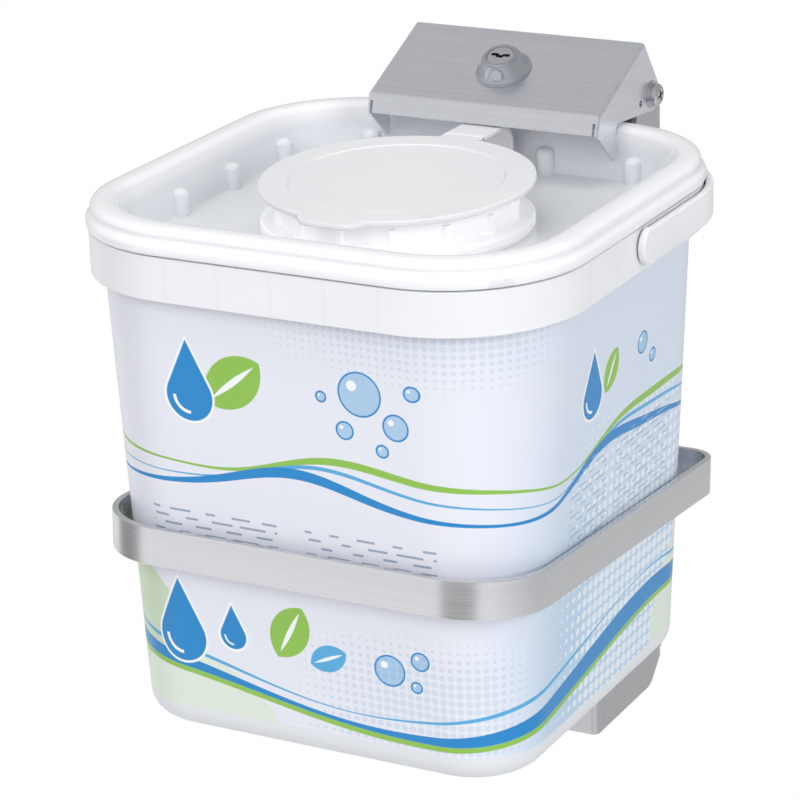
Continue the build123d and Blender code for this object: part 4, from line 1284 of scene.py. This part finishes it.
@dataclass
class LidAssembly(SubAssembly):
    """Tray lid with its double bead and ribbed recess."""

    half: float = 100.0
    corner: float = 52.0
    floor: float = 6.5
    floor_in: float = 13.6
    wall: float = 1.8
    bore: float = 45.8
    bore_y: float = -2.3
    rib_radius: float = 4.0
    rib_tall: float = 11.0
    rib_step: float = 39.0

    def tray(self) -> Any:
        """The rim, recess and floor, with half round ribs at the foot of the recess wall."""
        bench = Bench("tray_lid_shell")
        outside = [(1.4, 17.3), (0.2, 17.5), (-0.5, 17.9), (-0.85, 18.6), (-1.0, 19.4), (-1.0, 20.6),
                   (-0.85, 21.3), (-0.4, 22.0), (0.4, 22.6), (1.1, 23.1), (1.4, 23.6), (1.45, 24.1),
                   (1.2, 24.6), (1.0, 25.1), (1.05, 25.7), (1.4, 26.4), (2.0, 27.0), (3.0, 27.5),
                   (4.6, 27.85), (6.4, 28.0), (8.6, 27.95), (10.0, 27.6), (11.0, 27.0), (11.7, 26.1),
                   (12.0, 25.0), (13.2, 9.2), (13.5, 7.6), (14.2, 6.75), (15.4, 6.5), (19.6, 6.5)]
        inside = [(19.6, 4.7), (11.8, 4.7), (10.2, 16.0), (6.6, 17.6), (6.6, 24.3), (4.2, 24.3),
                  (4.2, 17.3)]
        square = bench.squares(self.half, self.corner, outside)
        under = bench.squares(self.half, self.corner, inside)
        rounds = [bench.hoop(self.bore, z, self.bore_y) for z in (self.floor, self.floor - self.wall)]
        bench.chain(square)
        bench.chain(rounds)
        bench.chain(under)
        bench.annulus(square[-1], rounds[0])
        bench.annulus(rounds[1], under[0])
        bench.bridge(under[-1], square[0])
        for turned in range(4):
            for index in range(4):
                self.rib(bench, 90 * turned, (index - 1.5) * self.rib_step)
        return bench.done(at_tub())

    def rib(self, bench: Bench, turned: float, place: float) -> None:
        """One half round rib that stands against the recess wall.

        Args:
            bench: The lid's bench.
            turned: Its wall's turn from the back one, in degrees.
            place: How far along the wall it is.
        """
        flat, bend = self.half - self.corner, self.corner - self.floor_in
        past = max(abs(place) - flat, 0.0)
        lean = math.degrees(math.asin(past / bend)) * (1 if place > 0 else -1)
        r, low = self.rib_radius, self.floor - 0.5
        top, out = low + self.rib_tall, flat + bend + 0.5
        bench.turn([(r, low), (r, top - 2.6), (r * 0.93, top - 1.5), (r * 0.76, top - 0.7),
                    (r * 0.5, top - 0.2), (r * 0.16, top)], (0.0, out), 32)
        bench.grab()
        bench.cut((0, out + 0.5, 0), (0, 1, 0))
        bench.grab()
        start = min(max(place, -flat), flat)
        bench.spin(lean, (0, flat, 0))
        bpy.ops.transform.translate(value=(start, 0, 0))
        bench.spin(-turned)
        bench.tag()

    def build(self) -> None:
        """Makes and dresses the lid."""
        self.hand_over(self.tray(), self.finishes.lid, "bracket", "lid_plastic", "tray_lid")


@dataclass
class Closure(SubAssembly):
    """Dispensing collar, flip cap, hinge band and gate."""

    centre_y: float = -2.3
    floor: float = 6.5
    flange: float = 52.5
    neck: float = 45.5
    neck_wall: float = 1.8
    neck_top: float = 20.6
    gate_low: float = 16.7
    ribs: int = 14
    band_back: float = 81.0
    band_half: float = 8.5
    cap: float = 53.0
    cap_top: float = 26.3
    cap_thick: float = 2.2
    tilt: float = 1.9
    panel: float = 41.5
    plug: float = 42.4
    hinge_y: float = 54.5
    bead: float = 1.0

    def collar(self) -> Any:
        """Stepped flange, ribbed neck, the gate's ledge and the tongue to the hinge band."""
        bench = Bench("collar_ring")
        r, f, inner = self.neck, self.floor, self.neck - self.neck_wall
        bench.turn([(self.flange - 1.4, f), (self.flange - 1.2, f + 0.3), (self.flange - 1.2, f + 1.5),
                    (self.flange - 0.2, f + 1.8), (self.flange, f + 2.1), (self.flange, 10.8),
                    (self.flange - 0.2, 11.4), (self.flange - 0.6, 11.8), (self.flange - 1.2, 12.0),
                    (r + 1.4, 12.0), (r + 0.5, 12.3), (r + 0.1, 12.9), (r, 13.6),
                    (r, self.neck_top - 0.6), (r - 0.2, self.neck_top - 0.15), (r - 0.6, self.neck_top),
                    (inner + 0.4, self.neck_top), (inner, self.neck_top - 0.4), (inner, self.gate_low),
                    (inner - 2.5, self.gate_low), (inner - 2.5, self.gate_low - 1.2),
                    (inner, self.gate_low - 1.2), (inner, f - 3), (r, f - 3), (r, f)],
                   vertices=120, caps=False)
        step = 360 / self.ribs
        bench.block((r - 0.6, -1.5, f + 1.5), (r + 1.8, 1.5, self.neck_top - 1.0), 0.6, 3)
        bpy.ops.mesh.select_linked()
        bench.spin(step / 2)
        bench.repeat(self.ribs, turn=step)
        bench.block((-self.band_half, r - 1.0, f), (self.band_half, self.band_back - self.centre_y,
                                                    f + 1.6), 0.3, 2)
        return bench.done(at_tub(y=self.centre_y), join=0.0005)

    def flip_cap(self) -> Any:
        """Thin cap with a grooved panel, a plug ring underneath, a thumb tab and the hinge bead."""
        bench = Bench("cap_disc")
        r, t, p = self.cap, self.cap_thick, self.plug
        bench.turn([(self.panel - 0.7, -0.32), (self.panel - 0.35, -0.62), (self.panel, -0.62),
                    (self.panel + 0.25, -0.1), (self.panel + 0.6, 0.0), (r - 1.0, 0.0),
                    (r - 0.45, -0.1), (r - 0.12, -0.35), (r, -0.8), (r, -t + 0.5), (r - 0.15, -t + 0.15),
                    (r - 0.5, -t), (p + 0.3, -t), (p, -t - 0.3), (p, -t - 2.9), (p - 0.4, -t - 3.4),
                    (p - 1.2, -t - 3.4), (p - 1.6, -t - 3.0), (p - 1.6, -t)], vertices=144)
        far = r + 5.0
        outline = [(0.8, -0.02), (0.25, -0.2), (0.0, -0.75), (0.0, -t + 0.5), (0.4, -t + 0.02)]
        loops = [bench.loop((14 - d, (far - 44) / 2 - d), 8.4 - d, z, back=1.0,
                            shift=-(far + 44) / 2) for d, z in outline]
        bench.chain(loops)
        bench.fill(loops[0])
        bench.fill(loops[-1])
        lug_end = self.hinge_y - self.centre_y
        bench.block((-self.band_half, r - 5, -1.7), (self.band_half, lug_end, -0.1), 0.12, 1)
        bench.rod(self.bead, (0, lug_end, -0.9), 2 * self.band_half, 0.2, 24)
        return bench.done(at_tub(y=self.centre_y, z=self.cap_top, turn=self.tilt), join=0.0005)

    def build(self) -> None:
        """Makes and dresses the closure."""
        white = self.finishes.closure
        self.hand_over(self.collar(), self.finishes.collar, "bracket", "closure_plastic",
                       "dispensing_collar")
        self.hand_over(self.flip_cap(), white, "cap", "closure_plastic", "flip_cap")
        band = Bench.copy_of("hinge_band", "hinge_strap").eased(0.35, 3)
        self.hand_over(band, white, "bracket", "closure_plastic", "hinge_band")
        self.finishes.dress(self.finishes.gate, "dispensing_gate")


@dataclass
class Bracket(SubAssembly):
    """Wall channel, retaining ring, foot and keeper."""

    ring_half: float = 91.815
    ring_front: float = 94.515
    ring_back: float = 95.015
    ring_thick: float = 2.5
    ring_tall: float = 15.0
    ring_top: float = -99.0
    front_corner: float = 32.0
    back_corner: float = 12.0
    tilt: float = -3.8
    top_cut: tuple[float, float, float] = (0.0, -0.002, 0.113)
    top_slope: tuple[float, float, float] = (0.0, 0.54, 0.84)

    def ring(self) -> Any:
        """Flat bar bent into a closed ring, its edges eased."""
        bench = Bench("ring_bar")
        t, low, e = self.ring_thick, -self.ring_tall, 0.35
        profile = [(0.0, low + e), (0.0, -e), (0.1, -0.1), (e, 0.0), (t - e, 0.0), (t - 0.1, -0.1),
                   (t, -e), (t, low + e), (t - 0.1, low + 0.1), (t - e, low), (e, low), (0.1, low + 0.1)]
        deep, shift = (self.ring_front + self.ring_back) / 2, (self.ring_back - self.ring_front) / 2
        bench.chain([bench.loop((self.ring_half - d, deep - d), self.front_corner - d, z,
                                back=self.back_corner - d, shift=shift) for d, z in profile], closed=True)
        return bench.done(at_tub(z=self.ring_top, turn=self.tilt))

    def build(self) -> None:
        """Makes and dresses the bracket's pieces."""
        steel = self.finishes.sheet
        self.hand_over(self.ring(), self.finishes.band, "bracket", "bracket_steel", "retaining_ring")
        for node, name, width in (("wall_channel", "channel_sheet", 0.3),
                                  ("support_foot", "foot_sheet", 0.35)):
            bench = Bench.copy_of(node, name)
            if node == "wall_channel":
                bench.mode("EDIT")
                bench.everything()
                bench.cut(self.top_cut, self.top_slope)
                bench.mode("OBJECT")
            self.hand_over(bench.eased(width), steel, "bracket", "bracket_steel", node)
        self.finishes.dress(steel, "lock_keeper")
        self.finishes.dress(self.finishes.spacer, "pivot_spacers")
        self.finishes.dress(self.finishes.screw, "pivot_nuts", "pivot_screws", "pivot_washers")


@dataclass
class Hood(SubAssembly):
    """Bent sheet hood with its cam lock."""

    flange: float = 11.4
    base: float = 10.4
    nose: float = 6.9
    proud: float = 7.6
    barrel: float = 9.0
    thread: float = 0.9
    deep: float = 10.2
    plug: float = 5.4
    centre: tuple[float, float] = (90.195, 45.798)
    lean: float = 24.595

    def housing(self) -> Any:
        """Turned lock housing: thin flange, hollowed cone, bright rim and the threaded barrel."""
        bench = Bench("lock_cone")
        profile = [(self.plug + 0.05, -self.deep), (self.barrel - 0.5, -self.deep)]
        z = -self.deep + 0.4
        while z < -1.9:
            profile += [(self.barrel, z), (self.barrel - self.thread / 2, z + self.thread / 2)]
            z += self.thread
        profile += [(self.barrel, -1.6), (self.barrel, 0.0), (self.flange - 0.15, 0.0),
                    (self.flange, 0.15), (self.flange, 0.6), (self.flange - 0.2, 0.8),
                    (self.base + 0.35, 0.8), (self.base, 1.05), (9.6, 2.6), (8.6, 4.75), (7.75, 6.55),
                    (7.6, 6.72), (7.45, 6.78), (7.1, 6.78), (6.95, 6.9), (self.nose, 7.35),
                    (self.nose - 0.15, self.proud - 0.05), (self.nose - 0.35, self.proud),
                    (self.plug + 0.3, self.proud), (self.plug + 0.12, self.proud - 0.1),
                    (self.plug + 0.05, self.proud - 0.6)]
        bench.turn(profile, vertices=96, caps=False)
        return bench.done(at_tub(y=self.centre[0], z=self.centre[1], turn=self.lean), join=0.0005)

    def build(self) -> None:
        """Makes and dresses the hood's pieces."""
        shell = Bench.copy_of("hood_shell", "hood_sheet").eased(0.22)
        self.hand_over(shell, self.finishes.hood, "hood", "hood_steel", "hood_shell")
        self.hand_over(self.housing(), self.finishes.housing, "hood", "lock_chrome", "lock_housing")
        plug = Bench.copy_of("lock_plug", "key_plug").eased(0.1)
        self.hand_over(plug, self.finishes.chrome, "lock", "lock_chrome", "lock_plug")
        self.finishes.dress(self.finishes.cam, "lock_cam", "cam_screw", "lock_nut")


class Studio:
    """Camera, soft lamps, floor and surroundings.

    A dark side is a direction on the floor, where the shade starts and is full, and its depth.
    """

    lens: float = 148.985
    spot: tuple[float, float, float] = (0.57684, -1.19603, 0.4538)
    right: tuple[float, float, float] = (0.882761, 0.468816, -0.030732)
    up: tuple[float, float, float] = (-0.134317, 0.314512, 0.939703)
    back: tuple[float, float, float] = (0.450213, -0.825405, 0.340609)
    aim: tuple[float, float, float] = (0.0, -0.12, 0.02)
    floor_wide: float = 9000.0
    floor_thick: float = 20.0
    floor_z: float = -0.85
    lit_side: tuple[float, float] = (-0.45, -0.88)
    dark_sides: tuple[tuple[float, float, float, float, float], ...] = (
        (-0.95, -0.3, 0.84, 0.93, 0.7), (0.12, -0.99, 0.86, 0.92, 0.6))

    def camera(self) -> None:
        """Sets the camera where the photograph was taken from."""
        lens = bpy.data.cameras.new("camera")
        lens.lens, lens.sensor_width, lens.clip_start, lens.clip_end = self.lens, 36.0, 0.05, 50.0
        camera = bpy.data.objects.new("camera", lens)
        turn = Matrix((self.right, self.up, self.back)).transposed().to_4x4()
        camera.matrix_world = Matrix.Translation(self.spot) @ turn
        bpy.context.scene.collection.objects.link(camera)
        bpy.context.scene.camera = camera

    def lamp(self, name: str, place: Sequence[float], size: float, power: float) -> None:
        """Adds a soft square lamp that faces the tub.

        Args:
            name: Its name.
            place: Where it stands, in metres.
            size: Its side.
            power: Its watts.
        """
        light = bpy.data.lights.new(name, "AREA")
        light.shape, light.size, light.energy = "SQUARE", size, power
        lamp = bpy.data.objects.new(name, light)
        aim = Vector(self.aim) - Vector(place)
        lamp.location = place
        lamp.rotation_euler = aim.to_track_quat("-Z", "Y").to_euler()
        lamp.visible_glossy = False
        bpy.context.scene.collection.objects.link(lamp)

    def floor(self) -> None:
        """Lays a wide pale floor well below, with dark sides that show in reflections only."""
        bench = Bench("studio_floor")
        bench.add("plane", size=self.floor_wide)
        bpy.ops.mesh.extrude_region_move(TRANSFORM_OT_translate={"value": (0, 0, -self.floor_thick)})
        bpy.ops.mesh.select_all(action="SELECT")
        piece = bench.done(Matrix.Translation((0.0, 0.0, self.floor_z)) @ Matrix.Scale(MM, 4))
        made, tree = material("floor_paper")
        rays = tree.node("LightPath")
        seen = tree.math("MAXIMUM", rays.out("Is Camera Ray"), rays.out("Is Glossy Ray"))
        spot = tree.spot()
        way = tree.vector("NORMALIZE", spot, NOWHERE)
        shade = 0.64 + tree.step(self.toward(tree, way, *self.lit_side), -0.9, 0.5) * 0.36
        for x, y, start, full, less in self.dark_sides:
            shade = shade - tree.step(self.toward(tree, way, x, y), start, full) * less
        bright = tree.math("MAXIMUM", rays.out("Is Camera Ray"), shade)
        white = tree.node("Emission", inputs={"Color": WHITE, "Strength": bright})
        paper = tree.node("BsdfDiffuse", inputs={"Color": (0.82, 0.82, 0.82, 1)})
        both = tree.node("MixShader", inputs={0: seen, 1: paper, 2: white})
        tree.node("OutputMaterial", inputs={"Surface": both})
        piece.data.materials.append(made)

    def toward(self, tree: Tree, way: Sock, x: float, y: float) -> Sock:
        """How much a direction points towards another one on the floor."""
        return tree.vector("DOT_PRODUCT", way, (x, y, 0.0), 1)

    def world(self) -> None:
        """A surround that is white to the camera and greyer to all else, most so behind."""
        world = bpy.data.worlds.new("studio")
        bpy.context.scene.world = world
        tree = Tree(world)
        rays = tree.node("LightPath")
        way = tree.node("TexCoord", output="Generated")
        glow = 0.5 + tree.step(self.toward(tree, way, *self.lit_side), -0.35, 0.75) * 0.2
        strength = tree.math("MAXIMUM", rays.out("Is Camera Ray"), glow)
        surround = tree.node("Background", inputs={"Color": WHITE, "Strength": strength})
        tree.node("OutputWorld", inputs={"Surface": surround})

    def build(self) -> None:
        """Sets the stage."""
        self.camera()
        self.floor()
        self.world()
        self.lamp("key", (-0.3, -2.3, 1.5), 1.4, 16.0)
        self.lamp("fill", (2.1, -1.0, 0.9), 1.4, 22.0)
        self.lamp("top", (0.0, -0.5, 2.2), 1.2, 12.0)
        bpy.context.scene.view_settings.view_transform = "Standard"


def main() -> None:
    """Builds the studio and every sub-assembly, and measures the result."""
    logging.basicConfig(level=logging.INFO, format="%(name)s: %(message)s")
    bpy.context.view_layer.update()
    Studio().build()
    finishes = Wardrobe()
    for assembly in (TubAssembly, LidAssembly, Closure, Bracket, Hood):
        LOG.info("building %s", assembly.__name__)
        assembly(finishes).build()


if __name__ == "__main__":
    main()
